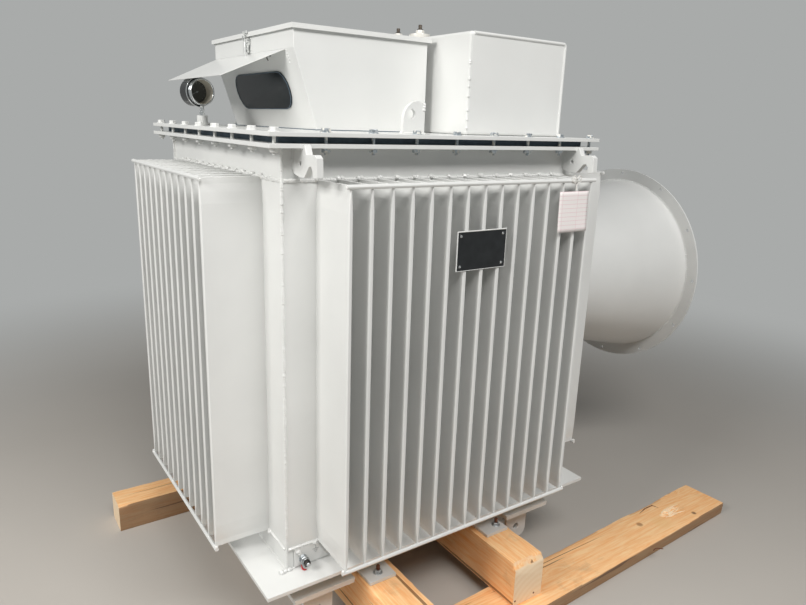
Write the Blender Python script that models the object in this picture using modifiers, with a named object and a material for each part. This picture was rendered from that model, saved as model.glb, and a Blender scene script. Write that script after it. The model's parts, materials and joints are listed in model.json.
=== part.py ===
"""Oil-filled power transformer with a corrugated tank and a side outlet duct, on its timber grillage.

The frame stands on the ground at the middle of the grillage: X runs along the front of the tank, Y runs
back from it and Z is up. Lengths are in metres. Places on the transformer are measured from the tank's
front left corner at the top of its base plate.
"""

import math

import bmesh
import bpy
from mathutils import Matrix, Vector

# Gap between two pieces that touch, and the overrun of a cutter
SEAT = 0.0003
OVERRUN = 0.01
# How far pieces that are welded into one node reach into each other
WELD = 0.001

# Timber grillage: how far it reaches past each wall of the tank
GRILLAGE_LEFT = 0.285
GRILLAGE_RIGHT = 0.8755
GRILLAGE_FRONT = 0.375
GRILLAGE_REAR = 0.1846
REAR_TIMBER_HEIGHT = 0.110
REAR_TIMBER_WIDTH = 0.125
REAR_TIMBER_SET_IN = 0.035
FRONT_TIMBER_HEIGHT = 0.055
FRONT_TIMBER_WIDTH = 0.180
FRONT_TIMBER_SET_IN = 0.0317
FRONT_TIMBER_SKEW = math.radians(2.3)
HIGH_TIMBER_HEIGHT = 0.1591
HIGH_TIMBER_WIDTH = 0.130
LEFT_TIMBER_FROM_END = 0.230
RIGHT_TIMBER_FROM_END = 0.2245
RIGHT_TIMBER_SET_BACK = 0.130
TIMBER_EDGE = 0.006

# Skid channels and their foot pads
PAD_THICKNESS = 0.010
PAD_WIDTH = 0.095
PAD_LENGTH = 0.110
SKID_HEIGHT = 0.078
SKID_WIDTH = 0.060
SKID_WEB = 0.006
SKID_FLANGE = 0.008
SKID_SET_IN = 0.004
PAD_OVERHANG = 0.080
SKID_FROM_END = 0.2875

# Base plate
BASE_THICKNESS = 0.012
BASE_OVERHANG_LEFT = 0.096
BASE_OVERHANG_RIGHT = 0.126
BASE_OVERHANG_FRONT = 0.084

# Corner channels with their roller forks
CORNER_CHANNEL_LENGTH = 0.203
CORNER_CHANNEL_FROM_END = 0.005
CORNER_CHANNEL_LIP = 0.040
CORNER_CHANNEL_WIDTH = 0.065
FORK_PLATE_THICKNESS = 0.010
FORK_WIDTH = 0.100
FORK_CHEEK_THICKNESS = 0.010
FORK_GAP = 0.050
FORK_SET_IN = 0.010
FORK_DROP = 0.135
AXLE_DROP = 0.085
AXLE_HOLE_RADIUS = 0.0125
FORK_CORNER_RADIUS = 0.030

# Tank, rim flange, gasket and cover
TANK_LENGTH = 1.0495
TANK_DEPTH = 0.9154
TANK_HEIGHT = 1.2227
RIM_THICKNESS = 0.011
RIM_OVERHANG = 0.056
GASKET_THICKNESS = 0.016
GASKET_OUTSIDE = 0.014
GASKET_WIDTH = 0.050
COVER_THICKNESS = 0.011

# Cooling fins
FIN_PITCH = 0.0606
FIN_LOW = 0.070
FIN_BELOW_TANK_TOP = 0.0927
FIN_THICKNESS = 0.013
FIN_NOSE = 0.003
FIN_SHEET = 0.003
FIN_BANK_MARGIN = 0.030
FIN_SHEET_SET_IN = 0.002
FRONT_FIN_COUNT = 15
FRONT_FIN_DEPTH = 0.1745
LEFT_FIN_COUNT = 12
LEFT_FIN_DEPTH = 0.170
RIGHT_FIN_COUNT = 3
RIGHT_FIN_DEPTH = 0.2225
RIGHT_FIN_FROM_END = 0.062
# Height and thickness of a fin at each level, the ends being pinched nearly flat
FIN_LEVEL_SHARES = ((0.0, 0.34), (0.014, 0.34), (0.034, 0.72), (0.062, 1.0),
                    (0.938, 1.0), (0.966, 0.72), (0.986, 0.34), (1.0, 0.34))
ROD_RADIUS = 0.006
ROD_OVERHANG = 0.014
ROD_SET_IN = 0.0005
ROD_BITE = 0.0015
ROD_SINK = 0.001

# Lifting hooks
HOOK_THICKNESS = 0.018
HOOK_FROM_END = 0.040
HOOK_REACH = 0.131
HOOK_HEIGHT = 0.070
HOOK_RISE = 0.009
HOOK_HOLE_RADIUS = 0.006
HOOK_NECK = 0.010
# Outline of the hook below its neck: shares of the reach, and of the height down from the rim
HOOK_OUTLINE_SHARES = ((0.58, -0.20), (0.90, -0.17), (0.985, -0.27), (1.0, -0.93), (0.82, -0.97),
                       (0.815, -0.70), (0.76, -0.57), (0.68, -0.59), (0.60, -0.76), (0.48, -0.99),
                       (0.28, -1.0), (0.0, -0.90))
HOOK_HOLE_SHARE = (0.31, -0.52)

# Eyes on the cover
EYE_WIDTH = 0.074
EYE_HEIGHT = 0.092
EYE_SHOULDER = 0.020
EYE_THICKNESS = 0.014
EYE_HOLE_RADIUS = 0.014
EYE_HOLE_HEIGHT = 0.055
EYE_FROM_SIDE = 0.080
FRONT_EYE_FROM_END = 0.485
REAR_EYE_FROM_BOX = 0.0985

# Terminal box with its sloped window panel
BOX_FROM_LEFT = 0.1453
BOX_FROM_FRONT = 0.234
BOX_LENGTH = 0.4557
BOX_DEPTH = 0.637
BOX_HEIGHT = 0.2813
BOX_WALL = 0.003
PANEL_HEIGHT = 0.2216
PANEL_SET_IN = 0.0728
WINDOW_LENGTH = 0.418
WINDOW_HEIGHT = 0.111
WINDOW_DOWN = 0.1155
WINDOW_FROM_FRONT = 0.3085
GLASS_THICKNESS = 0.004
VISOR_REACH = 0.186
VISOR_THICKNESS = 0.002
VISOR_FALL = math.radians(25.0)
VISOR_DOWN = 0.0015
VISOR_FROM_FRONT = 0.057
VISOR_FRONT_SLANT = 0.060

# Hinged lid of the terminal box
LID_OVERHANG = 0.009
LID_SHEET = 0.002
LID_LIP = 0.0133
HINGE_PIN_RADIUS = 0.0025
HINGE_KNUCKLE_RADIUS = 0.004
HINGE_DROP = 0.0121
HINGE_LEAF = 0.002
HINGE_LEAF_HEIGHT = 0.025
HINGE_LENGTH = 0.500
HINGE_END_KNUCKLE = 0.120
LATCH_WIDTH = 0.026
LATCH_FROM_FRONT = 0.320
LATCH_HEIGHT = 0.042
LATCH_THICKNESS = 0.011
# Outline of the latch from its top: shares of its thickness out from the box, and of its height down
LATCH_OUTLINE_SHARES = ((0.0, 0.0), (0.25, 0.0), (0.25, 0.22), (0.62, 0.26), (0.95, 0.40), (1.0, 0.72),
                        (0.72, 0.92), (0.50, 0.90), (0.72, 0.70), (0.62, 0.46), (0.25, 0.42), (0.25, 1.0), (0.0, 1.0))
KEEPER_GAP = 0.006
KEEPER_REACH = 0.007
# Outline of the keeper: shares of its reach out from the lid, and of the lid's lip down
KEEPER_OUTLINE_SHARES = ((0.0, 0.1), (0.35, 0.1), (0.4, 0.3), (1.0, 0.2), (1.0, 0.55), (0.4, 0.7), (0.35, 1.0), (0.0, 1.0))

# Second box
SPARE_BOX_LENGTH = 0.401
SPARE_BOX_DEPTH = 0.441
SPARE_BOX_HEIGHT = 0.297
SPARE_BOX_SPACING = 0.031
SPARE_BOX_FROM_FRONT = 0.059
SPARE_BOX_EDGE = 0.008

# Stud terminals behind the second box
TERMINAL_FROM_BOX = 0.271
TERMINAL_SPACING = 0.150
TERMINAL_FROM_FRONT = 0.660
TERMINAL_HEIGHT = 0.355
TERMINAL_HEAD_RADIUS = 0.040
TERMINAL_HEAD_HEIGHT = 0.015
TERMINAL_CORE_RADIUS = 0.026
TERMINAL_SHED_RADIUS = 0.042
TERMINAL_SHED_COUNT = 4
TERMINAL_BASE_RADIUS = 0.046
TERMINAL_BASE_HEIGHT = 0.014
STUD_RADIUS = 0.008
STUD_HEIGHT = 0.034
STUD_NUT_RADIUS = 0.0175
STUD_NUT_HEIGHT = 0.015

# Dial thermometer
DIAL_FROM_LEFT = 0.0245
DIAL_FROM_FRONT = 0.670
DIAL_HEIGHT = 0.103
DIAL_RADIUS = 0.0425
DIAL_DEPTH = 0.070
DIAL_RECESS = 0.036
DIAL_RIM = 0.005
DIAL_BEZEL_DEPTH = 0.020
DIAL_CASE_RADIUS = 0.047
DIAL_TURN = math.radians(12.0)
POCKET_RADIUS = 0.017
POCKET_HEIGHT = 0.030
POCKET_FOOT_RADIUS = 0.024
POCKET_FOOT_HEIGHT = 0.008
STEM_RADIUS = 0.005

# Outlet duct
DUCT_FROM_FRONT = 0.4577
DUCT_HEIGHT = 0.6644
DUCT_LENGTH = 0.863
DUCT_MOUTH_RADIUS = 0.3945
DUCT_FOOT_RADIUS = 0.187
DUCT_WALL = 0.005
DUCT_STEPS = 64
FLANGE_RADIUS = 0.442
FLANGE_THICKNESS = 0.008
FLANGE_HOLE_CIRCLE = 0.424
FLANGE_HOLE_RADIUS = 0.007
FLANGE_HOLE_COUNT = 12
BUSHING_LENGTH = 0.620
BUSHING_BASE_RADIUS = 0.130
BUSHING_BASE_THICKNESS = 0.018
BUSHING_CORE_RADIUS = 0.048
BUSHING_SHED_RADIUS = 0.088
BUSHING_SHED_COUNT = 8
BUSHING_STUD_RADIUS = 0.012
BUSHING_STUD_LENGTH = 0.060

# Nameplate and earth bracket
NAMEPLATE_LENGTH = 0.176
NAMEPLATE_HEIGHT = 0.109
NAMEPLATE_THICKNESS = 0.002
NAMEPLATE_FROM_LEFT = 0.430
NAMEPLATE_BELOW_FIN_TOP = 0.129
EARTH_THICKNESS = 0.006
EARTH_LENGTH = 0.112
EARTH_HEIGHT = 0.062
EARTH_FROM_LEFT = 0.021
EARTH_LOW = 0.006
EARTH_END_SLANT = 0.034
EARTH_TOP_FALL = 0.008

# Heights of the stack, from the ground up
high_timber_low = FRONT_TIMBER_HEIGHT + SEAT
pad_low = high_timber_low + HIGH_TIMBER_HEIGHT + SEAT
base_low = pad_low + PAD_THICKNESS + SKID_HEIGHT + SEAT
base_top = base_low + BASE_THICKNESS
tank_low = SEAT
rim_low = TANK_HEIGHT - RIM_THICKNESS
gasket_low = TANK_HEIGHT + SEAT
cover_low = gasket_low + GASKET_THICKNESS + SEAT
cover_top = cover_low + COVER_THICKNESS
on_cover = cover_top + SEAT
grillage_length = GRILLAGE_LEFT + TANK_LENGTH + GRILLAGE_RIGHT
grillage_depth = GRILLAGE_FRONT + TANK_DEPTH + GRILLAGE_REAR
corner = Vector((GRILLAGE_LEFT - grillage_length / 2, GRILLAGE_FRONT - grillage_depth / 2, base_top))

for old in list(bpy.data.objects):
    bpy.data.objects.remove(old)

parts = bpy.data.collections.new("power_transformer")
tools = bpy.data.collections.new("cutters")
bpy.context.scene.collection.children.link(parts)
bpy.context.scene.collection.children.link(tools)


def finish(name, colour, roughness, metallic):
    """One plain material for a kind of surface."""
    material = bpy.data.materials.new(name)
    material.use_nodes = True
    shader = material.node_tree.nodes["Principled BSDF"]
    shader.inputs["Base Color"].default_value = (*colour, 1)
    shader.inputs["Roughness"].default_value = roughness
    shader.inputs["Metallic"].default_value = metallic
    return material


enamel = finish("grey_white_enamel", (0.76, 0.75, 0.71), 0.3, 0)
timber = finish("pine", (0.66, 0.42, 0.19), 0.75, 0)
rubber = finish("black_rubber", (0.03, 0.03, 0.03), 0.8, 0)
glass = finish("dark_glass", (0.03, 0.04, 0.045), 0.08, 0)
porcelain = finish("white_porcelain", (0.8, 0.79, 0.75), 0.2, 0)
brass = finish("brass", (0.6, 0.42, 0.2), 0.35, 1)
chrome = finish("chrome", (0.7, 0.7, 0.7), 0.15, 1)
zinc = finish("zinc_plate", (0.5, 0.5, 0.48), 0.4, 1)
black_plate = finish("black_plate", (0.02, 0.02, 0.022), 0.35, 0.5)


def at(x, y, z):
    """A place measured from the tank's front left corner at the top of the base plate."""
    return corner + Vector((x, y, z))


def add(name, mesh, material, matrix):
    """An object for a mesh, in the transformer's collection."""
    mesh.materials.append(material)
    piece = bpy.data.objects.new(name, mesh)
    piece.matrix_world = matrix
    parts.objects.link(piece)
    return piece


def box(name, low, high, material):
    """A block between two corners, with its origin in the middle."""
    size = high - low
    mesh = bpy.data.meshes.new(name)
    cage = bmesh.new()
    bmesh.ops.create_cube(cage, size=1)
    bmesh.ops.scale(cage, vec=size, verts=cage.verts)
    cage.to_mesh(mesh)
    cage.free()
    return add(name, mesh, material, Matrix.Translation((low + high) / 2))


def rod(name, start, end, radius, material, sides=12):
    """A round bar between two points."""
    line = end - start
    mesh = bpy.data.meshes.new(name)
    cage = bmesh.new()
    bmesh.ops.create_cone(cage, cap_ends=True, segments=sides, radius1=radius, radius2=radius, depth=line.length)
    cage.to_mesh(mesh)
    cage.free()
    mesh.shade_smooth()
    mesh.set_sharp_from_angle(angle=math.radians(40))
    turn = line.to_track_quat("Z", "Y").to_matrix().to_4x4()
    return add(name, mesh, material, Matrix.Translation((start + end) / 2) @ turn)


def upright(along):
    """Axes for an outline that stands up: its X along the floor, its Y up."""
    up = Vector((0, 0, 1))
    axes = Matrix((along, up, along.cross(up))).transposed()
    return axes.to_4x4()


def plate(name, outlines, thickness, matrix, material):
    """A flat piece cut to an outline, later outlines being holes, centred on its own plane."""
    curve = bpy.data.curves.new(name, "CURVE")
    curve.dimensions = "2D"
    curve.fill_mode = "BOTH"
    curve.extrude = thickness / 2
    for outline in outlines:
        spline = curve.splines.new("POLY")
        spline.points.add(len(outline) - 1)
        for point, (x, y) in zip(spline.points, outline):
            point.co = (x, y, 0, 1)
        spline.use_cyclic_u = True
    drawn = bpy.data.objects.new(name + "_outline", curve)
    tools.objects.link(drawn)
    bpy.context.view_layer.update()
    mesh = bpy.data.meshes.new_from_object(drawn.evaluated_get(bpy.context.evaluated_depsgraph_get()))
    bpy.data.objects.remove(drawn)
    mesh.name = name
    cage = bmesh.new()
    cage.from_mesh(mesh)
    bmesh.ops.remove_doubles(cage, verts=cage.verts, dist=WELD / 100)
    bmesh.ops.recalc_face_normals(cage, faces=cage.faces)
    cage.to_mesh(mesh)
    cage.free()
    mesh.set_sharp_from_angle(angle=math.radians(35))
    mesh.materials.clear()
    return add(name, mesh, material, matrix)


def circle(centre_x, centre_y, radius, sides):
    """A round outline."""
    turns = [math.tau * k / sides for k in range(sides)]
    return [(centre_x + radius * math.cos(turn), centre_y + radius * math.sin(turn)) for turn in turns]


def turned(name, profile, matrix, material, steps=24):
    """A turned shape about its own Z: a profile of radius and height run round by a Screw."""
    mesh = bpy.data.meshes.new(name)
    places = [(radius, 0, height) for radius, height in profile]
    count = len(places)
    closed = profile[0][0] > 0
    edges = [(k, (k + 1) % count) for k in range(count if closed else count - 1)]
    mesh.from_pydata(places, edges, [])
    piece = add(name, mesh, material, matrix)
    screw = piece.modifiers.new("turn", "SCREW")
    screw.angle = math.tau
    screw.steps = steps
    screw.render_steps = steps
    screw.use_merge_vertices = True
    screw.merge_threshold = WELD / 100
    screw.use_smooth_shade = True
    return piece


def combine(piece, other, operation):
    """A Boolean with another solid, which is then only a guide."""
    change = piece.modifiers.new(other.name, "BOOLEAN")
    change.operation = operation
    change.solver = "EXACT"
    change.object = other
    parts.objects.unlink(other)
    tools.objects.link(other)
    other.hide_render = True
    other.display_type = "WIRE"


def edge_round(piece, width, segments=2):
    """Rounded edges on a block."""
    bevel = piece.modifiers.new("edges", "BEVEL")
    bevel.width = width
    bevel.segments = segments
    bevel.limit_method = "ANGLE"
    return piece


# Timbers: two long ones on the ground, two across them under the skids
front_y = -grillage_depth / 2
rear_y = grillage_depth / 2
half_length = grillage_length / 2
skewed_length = (grillage_length - FRONT_TIMBER_WIDTH * math.sin(FRONT_TIMBER_SKEW)) / math.cos(FRONT_TIMBER_SKEW)
skewed_depth = skewed_length * math.sin(FRONT_TIMBER_SKEW) + FRONT_TIMBER_WIDTH * math.cos(FRONT_TIMBER_SKEW)
front_timber = box("front_timber", Vector((-skewed_length / 2, -FRONT_TIMBER_WIDTH / 2, 0)),
                   Vector((skewed_length / 2, FRONT_TIMBER_WIDTH / 2, FRONT_TIMBER_HEIGHT)), timber)
front_timber.rotation_euler = (0, 0, FRONT_TIMBER_SKEW)
front_timber.location.y = front_y + FRONT_TIMBER_SET_IN + skewed_depth / 2
edge_round(front_timber, TIMBER_EDGE)
rear_timber_rear = rear_y - REAR_TIMBER_SET_IN
rear_timber_front = rear_timber_rear - REAR_TIMBER_WIDTH
edge_round(box("rear_timber", Vector((-half_length, rear_timber_front, 0)),
               Vector((half_length, rear_timber_rear, REAR_TIMBER_HEIGHT)), timber), TIMBER_EDGE)
right_timber_start = TANK_LENGTH - RIGHT_TIMBER_FROM_END - HIGH_TIMBER_WIDTH
for name, start, set_back in (("left_timber", LEFT_TIMBER_FROM_END, 0),
                              ("right_timber", right_timber_start, RIGHT_TIMBER_SET_BACK)):
    low = Vector((corner.x + start, front_y + set_back, high_timber_low))
    high = Vector((low.x + HIGH_TIMBER_WIDTH, rear_y, high_timber_low + HIGH_TIMBER_HEIGHT))
    across = edge_round(box(name, low, high, timber), TIMBER_EDGE)
    notch_low = Vector((low.x - OVERRUN, rear_timber_front - SEAT, low.z - OVERRUN))
    notch_high = Vector((high.x + OVERRUN, rear_y + OVERRUN, REAR_TIMBER_HEIGHT + SEAT))
    combine(across, box(name + "_notch", notch_low, notch_high, timber), "DIFFERENCE")

# Base plate
box("base_plate", at(-BASE_OVERHANG_LEFT, -BASE_OVERHANG_FRONT, -BASE_THICKNESS),
    at(TANK_LENGTH + BASE_OVERHANG_RIGHT, TANK_DEPTH + BASE_OVERHANG_FRONT, 0), enamel)

# Skid channels on their pads
skid_low = PAD_THICKNESS - WELD
skid_high = PAD_THICKNESS + SKID_HEIGHT
for name, middle, inward in (("left_skid_channel", SKID_FROM_END, 1),
                             ("right_skid_channel", TANK_LENGTH - SKID_FROM_END, -1)):
    back = -SKID_WIDTH / 2
    web = back + SKID_WEB
    front = SKID_WIDTH / 2
    shape = ((back, skid_low), (front, skid_low), (front, skid_low + SKID_FLANGE), (web, skid_low + SKID_FLANGE),
             (web, skid_high - SKID_FLANGE), (front, skid_high - SKID_FLANGE), (front, skid_high),
             (back, skid_high))
    outline = [(-inward * x, z) for x, z in shape]
    length = TANK_DEPTH - 2 * SKID_SET_IN
    place = Matrix.Translation(Vector((corner.x + middle, corner.y + TANK_DEPTH / 2, pad_low)))
    skid = plate(name, [outline], length, place @ upright(Vector((1, 0, 0))), enamel)
    for pad_y in (-PAD_OVERHANG, TANK_DEPTH + PAD_OVERHANG - PAD_LENGTH):
        low = Vector((corner.x + middle - PAD_WIDTH / 2, corner.y + pad_y, pad_low))
        high = low + Vector((PAD_WIDTH, PAD_LENGTH, PAD_THICKNESS))
        combine(skid, box(name + "_pad", low, high, enamel), "UNION")

# Corner channels with roller forks, the rollers taken out
channel_low = -BASE_THICKNESS - SEAT - SKID_HEIGHT
channel_high = -BASE_THICKNESS - SEAT
fork_top = channel_low + WELD
fork_low = fork_top - FORK_PLATE_THICKNESS
for side, outward, wall_y in (("front", -1, 0), ("rear", 1, TANK_DEPTH)):
    for end, start in (("left", CORNER_CHANNEL_FROM_END),
                       ("right", TANK_LENGTH - CORNER_CHANNEL_FROM_END - CORNER_CHANNEL_LENGTH)):
        name = side + "_" + end + "_roller_bracket"
        lip = outward * CORNER_CHANNEL_LIP
        back = lip - outward * CORNER_CHANNEL_WIDTH
        web = back + outward * SKID_WEB
        shape = ((lip, channel_low), (lip, channel_low + SKID_FLANGE), (web, channel_low + SKID_FLANGE),
                 (web, channel_high - SKID_FLANGE), (lip, channel_high - SKID_FLANGE), (lip, channel_high),
                 (back, channel_high), (back, channel_low))
        middle_x = start + CORNER_CHANNEL_LENGTH / 2
        place = Matrix.Translation(at(middle_x, wall_y, 0)) @ upright(Vector((0, 1, 0)))
        bracket = plate(name, [shape], CORNER_CHANNEL_LENGTH, place, enamel)
        half_fork = FORK_GAP / 2 + FORK_CHEEK_THICKNESS
        fork_y = wall_y - outward * (FORK_SET_IN + half_fork)
        plate_ends = sorted((wall_y + lip - outward * WELD, fork_y - outward * (half_fork + WELD)))
        low = at(start + WELD, plate_ends[0], fork_low)
        high = at(start + CORNER_CHANNEL_LENGTH - WELD, plate_ends[1], fork_top)
        combine(bracket, box(name + "_plate", low, high, enamel), "UNION")
        half = FORK_WIDTH / 2
        cheek_low = -FORK_DROP
        cut = FORK_CORNER_RADIUS
        cheek = [(-half, FORK_PLATE_THICKNESS - WELD), (-half, cheek_low + cut)]
        cheek += [(-half + cut - cut * math.cos(turn), cheek_low + cut - cut * math.sin(turn))
                  for turn in (math.pi / 6, math.pi / 3, math.pi / 2)]
        cheek += [(-x, z) for x, z in reversed(cheek)]
        hole = circle(0, -AXLE_DROP, AXLE_HOLE_RADIUS, 16)
        for step in (-1, 1):
            cheek_y = fork_y + step * (FORK_GAP + FORK_CHEEK_THICKNESS) / 2
            place = Matrix.Translation(at(middle_x, cheek_y, fork_low)) @ upright(Vector((1, 0, 0)))
            combine(bracket, plate(name + "_cheek", [cheek, hole], FORK_CHEEK_THICKNESS, place, enamel), "UNION")

# Tank, rim flange, gasket and cover
box("tank", at(0, 0, tank_low), at(TANK_LENGTH, TANK_DEPTH, TANK_HEIGHT), enamel)


def frame(name, outside, inside, low, thickness, material):
    """A flat ring round the tank: how far it reaches outside and inside the wall."""
    def rectangle(reach):
        return [(-reach, -reach), (TANK_LENGTH + reach, -reach),
                (TANK_LENGTH + reach, TANK_DEPTH + reach), (-reach, TANK_DEPTH + reach)]
    outlines = [rectangle(outside), rectangle(-inside)]
    return plate(name, outlines, thickness, Matrix.Translation(at(0, 0, low + thickness / 2)), material)


frame("rim_flange", RIM_OVERHANG, -SEAT, rim_low, RIM_THICKNESS, enamel)
frame("cover_gasket", GASKET_OUTSIDE, GASKET_WIDTH - GASKET_OUTSIDE, gasket_low, GASKET_THICKNESS, rubber)
box("cover", at(-RIM_OVERHANG, -RIM_OVERHANG, cover_low),
    at(TANK_LENGTH + RIM_OVERHANG, TANK_DEPTH + RIM_OVERHANG, cover_top), enamel)

fin_height = TANK_HEIGHT - FIN_LOW - FIN_BELOW_TANK_TOP


def fin_bank(name, count, depth, matrix, left_reach, right_reach):
    """A folded sheet with deep fins, drawn as a comb in plan at each level and lofted between the levels."""
    half_run = (count - 1) * FIN_PITCH / 2
    mesh = bpy.data.meshes.new(name)
    cage = bmesh.new()
    rings = []
    for height_share, thickness_share in FIN_LEVEL_SHARES:
        half = FIN_THICKNESS * thickness_share / 2
        nose = FIN_NOSE * thickness_share
        comb = [(-left_reach, -SEAT), (-left_reach, -FIN_SHEET)]
        for k in range(count):
            middle = k * FIN_PITCH - half_run
            comb += [(middle - half, -FIN_SHEET), (middle - half, nose - depth), (middle - half + nose, -depth),
                     (middle + half - nose, -depth), (middle + half, nose - depth), (middle + half, -FIN_SHEET)]
        comb += [(right_reach, -FIN_SHEET), (right_reach, -SEAT)]
        height = FIN_LOW + fin_height * height_share
        rings.append([cage.verts.new((x, y, height)) for x, y in comb])
    for below, above in zip(rings, rings[1:]):
        for k in range(len(below)):
            cage.faces.new((below[k - 1], below[k], above[k], above[k - 1]))
    cage.faces.new(rings[0])
    cage.faces.new(rings[-1])
    bmesh.ops.recalc_face_normals(cage, faces=cage.faces)
    cage.to_mesh(mesh)
    cage.free()
    bank = add(name, mesh, enamel, matrix)
    rod_end = half_run + ROD_OVERHANG
    for level in (FIN_LOW - ROD_RADIUS + ROD_BITE, FIN_LOW + fin_height - ROD_SINK):
        start = matrix @ Vector((-rod_end, ROD_SET_IN - depth, level))
        end = matrix @ Vector((rod_end, ROD_SET_IN - depth, level))
        combine(bank, rod(name + "_rod", start, end, ROD_RADIUS, enamel, 8), "UNION")
    return bank


def on_wall(x, y, turn):
    """Axes on a wall of the tank, with -Y outward."""
    return Matrix.Translation(at(x, y, 0)) @ Matrix.Rotation(turn, 4, "Z")


quarter = math.pi / 2
right_run = (RIGHT_FIN_COUNT - 1) * FIN_PITCH / 2
right_group = RIGHT_FIN_FROM_END + right_run
to_end = TANK_LENGTH / 2 - FIN_SHEET_SET_IN
to_side = TANK_DEPTH / 2 - FIN_SHEET_SET_IN
to_corner = right_group - FIN_SHEET_SET_IN
to_duct = right_run + FIN_BANK_MARGIN
fin_bank("front_fins", FRONT_FIN_COUNT, FRONT_FIN_DEPTH, on_wall(TANK_LENGTH / 2, 0, 0), to_end, to_end)
fin_bank("rear_fins", FRONT_FIN_COUNT, FRONT_FIN_DEPTH, on_wall(TANK_LENGTH / 2, TANK_DEPTH, math.pi), to_end, to_end)
fin_bank("left_fins", LEFT_FIN_COUNT, LEFT_FIN_DEPTH, on_wall(0, TANK_DEPTH / 2, -quarter), to_side, to_side)
fin_bank("right_front_fins", RIGHT_FIN_COUNT, RIGHT_FIN_DEPTH, on_wall(TANK_LENGTH, right_group, quarter),
         to_corner, to_duct)
fin_bank("right_rear_fins", RIGHT_FIN_COUNT, RIGHT_FIN_DEPTH,
         on_wall(TANK_LENGTH, TANK_DEPTH - right_group, quarter), to_duct, to_corner)

# Lifting hooks: plates under the rim at each end of the front and rear walls, risen over the rim's edge
neck_start = RIM_OVERHANG + SEAT
neck_end = neck_start + HOOK_NECK
hook = [(SEAT, -SEAT), (neck_start, -SEAT), (neck_start, HOOK_RISE), (neck_end, HOOK_RISE)]
hook += [(max(share_x * HOOK_REACH, SEAT), share_z * HOOK_HEIGHT) for share_x, share_z in HOOK_OUTLINE_SHARES]
hook_hole = circle(HOOK_HOLE_SHARE[0] * HOOK_REACH, HOOK_HOLE_SHARE[1] * HOOK_HEIGHT, HOOK_HOLE_RADIUS, 12)
for side, wall_y, outward in (("front", 0, -1), ("rear", TANK_DEPTH, 1)):
    for end, x in (("left", HOOK_FROM_END), ("right", TANK_LENGTH - HOOK_FROM_END)):
        place = Matrix.Translation(at(x, wall_y, rim_low)) @ upright(Vector((0, outward, 0)))
        plate(side + "_" + end + "_lifting_hook", [hook, hook_hole], HOOK_THICKNESS, place, enamel)

# Eyes standing on the cover, each with one upright side and one round shoulder
eye_round = EYE_WIDTH - EYE_SHOULDER
eye = [(-EYE_WIDTH, 0), (0, 0), (0, EYE_HEIGHT - EYE_SHOULDER), (-EYE_SHOULDER, EYE_HEIGHT)]
eye += [(-EYE_SHOULDER - eye_round * math.sin(turn), EYE_HEIGHT - eye_round + eye_round * math.cos(turn))
        for turn in (math.pi * k / 16 for k in range(1, 9))]
eye_hole = circle(-EYE_SHOULDER - eye_round / 2, EYE_HOLE_HEIGHT, EYE_HOLE_RADIUS, 16)
for name, x, y, outward in (("front_cover_eye", FRONT_EYE_FROM_END, EYE_FROM_SIDE, 1),
                            ("rear_cover_eye", BOX_FROM_LEFT + BOX_LENGTH + REAR_EYE_FROM_BOX,
                             TANK_DEPTH - EYE_FROM_SIDE, -1)):
    place = Matrix.Translation(at(x, y, on_cover)) @ upright(Vector((outward, 0, 0)))
    plate(name, [eye, eye_hole], EYE_THICKNESS, place, enamel)

# Terminal box: a sheet shell, open at the top, with a sloped panel on its left side
box_right = BOX_FROM_LEFT + BOX_LENGTH
box_middle = BOX_FROM_FRONT + BOX_DEPTH / 2
slope = math.atan2(PANEL_SET_IN, PANEL_HEIGHT)
panel_length = math.hypot(PANEL_SET_IN, PANEL_HEIGHT)
facing = upright(Vector((1, 0, 0)))
box_axes = Matrix.Translation(at(BOX_FROM_LEFT, box_middle, on_cover)) @ facing
shell = [(PANEL_SET_IN, 0), (BOX_LENGTH, 0), (BOX_LENGTH, BOX_HEIGHT), (0, BOX_HEIGHT), (0, PANEL_HEIGHT)]
inner_bend = BOX_WALL * math.tan(slope / 2)
inner_foot = PANEL_SET_IN + BOX_WALL / math.cos(slope) - BOX_WALL * math.tan(slope)
hollow = [(inner_foot, BOX_WALL), (BOX_LENGTH - BOX_WALL, BOX_WALL), (BOX_LENGTH - BOX_WALL, BOX_HEIGHT + OVERRUN),
          (BOX_WALL, BOX_HEIGHT + OVERRUN), (BOX_WALL, PANEL_HEIGHT + inner_bend)]
terminal_box = plate("terminal_box", [shell], BOX_DEPTH, box_axes, enamel)
combine(terminal_box, plate("terminal_box_hollow", [hollow], BOX_DEPTH - 2 * BOX_WALL, box_axes, enamel), "DIFFERENCE")


def stadium(length, height, steps=8):
    """A slot outline with round ends, long in Y."""
    radius = height / 2
    straight = length / 2 - radius
    ends = []
    for middle, start in ((straight, 0), (-straight, math.pi)):
        ends += [(radius * math.cos(start + math.pi * k / steps), middle + radius * math.sin(start + math.pi * k / steps))
                 for k in range(steps + 1)]
    return ends


# The window's axes: X down the panel, Y along the box, Z out of the panel
down_panel = Vector((math.sin(slope), 0, -math.cos(slope)))
along_box = Vector((0, 1, 0))
out_of_panel = down_panel.cross(along_box)
panel_axes = Matrix((down_panel, along_box, out_of_panel)).transposed().to_4x4()
window_y = BOX_FROM_FRONT + WINDOW_FROM_FRONT
window_middle = at(BOX_FROM_LEFT, window_y, on_cover + PANEL_HEIGHT) + down_panel * WINDOW_DOWN
opening = Matrix.Translation(window_middle) @ panel_axes
combine(terminal_box, plate("window_cutter", [stadium(WINDOW_LENGTH, WINDOW_HEIGHT)], 2 * OVERRUN, opening, enamel),
        "DIFFERENCE")
pane_middle = window_middle - out_of_panel * GLASS_THICKNESS / 2
plate("window_glass", [stadium(WINDOW_LENGTH - 2 * SEAT, WINDOW_HEIGHT - 2 * SEAT)], GLASS_THICKNESS,
      Matrix.Translation(pane_middle) @ panel_axes, glass)

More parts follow.
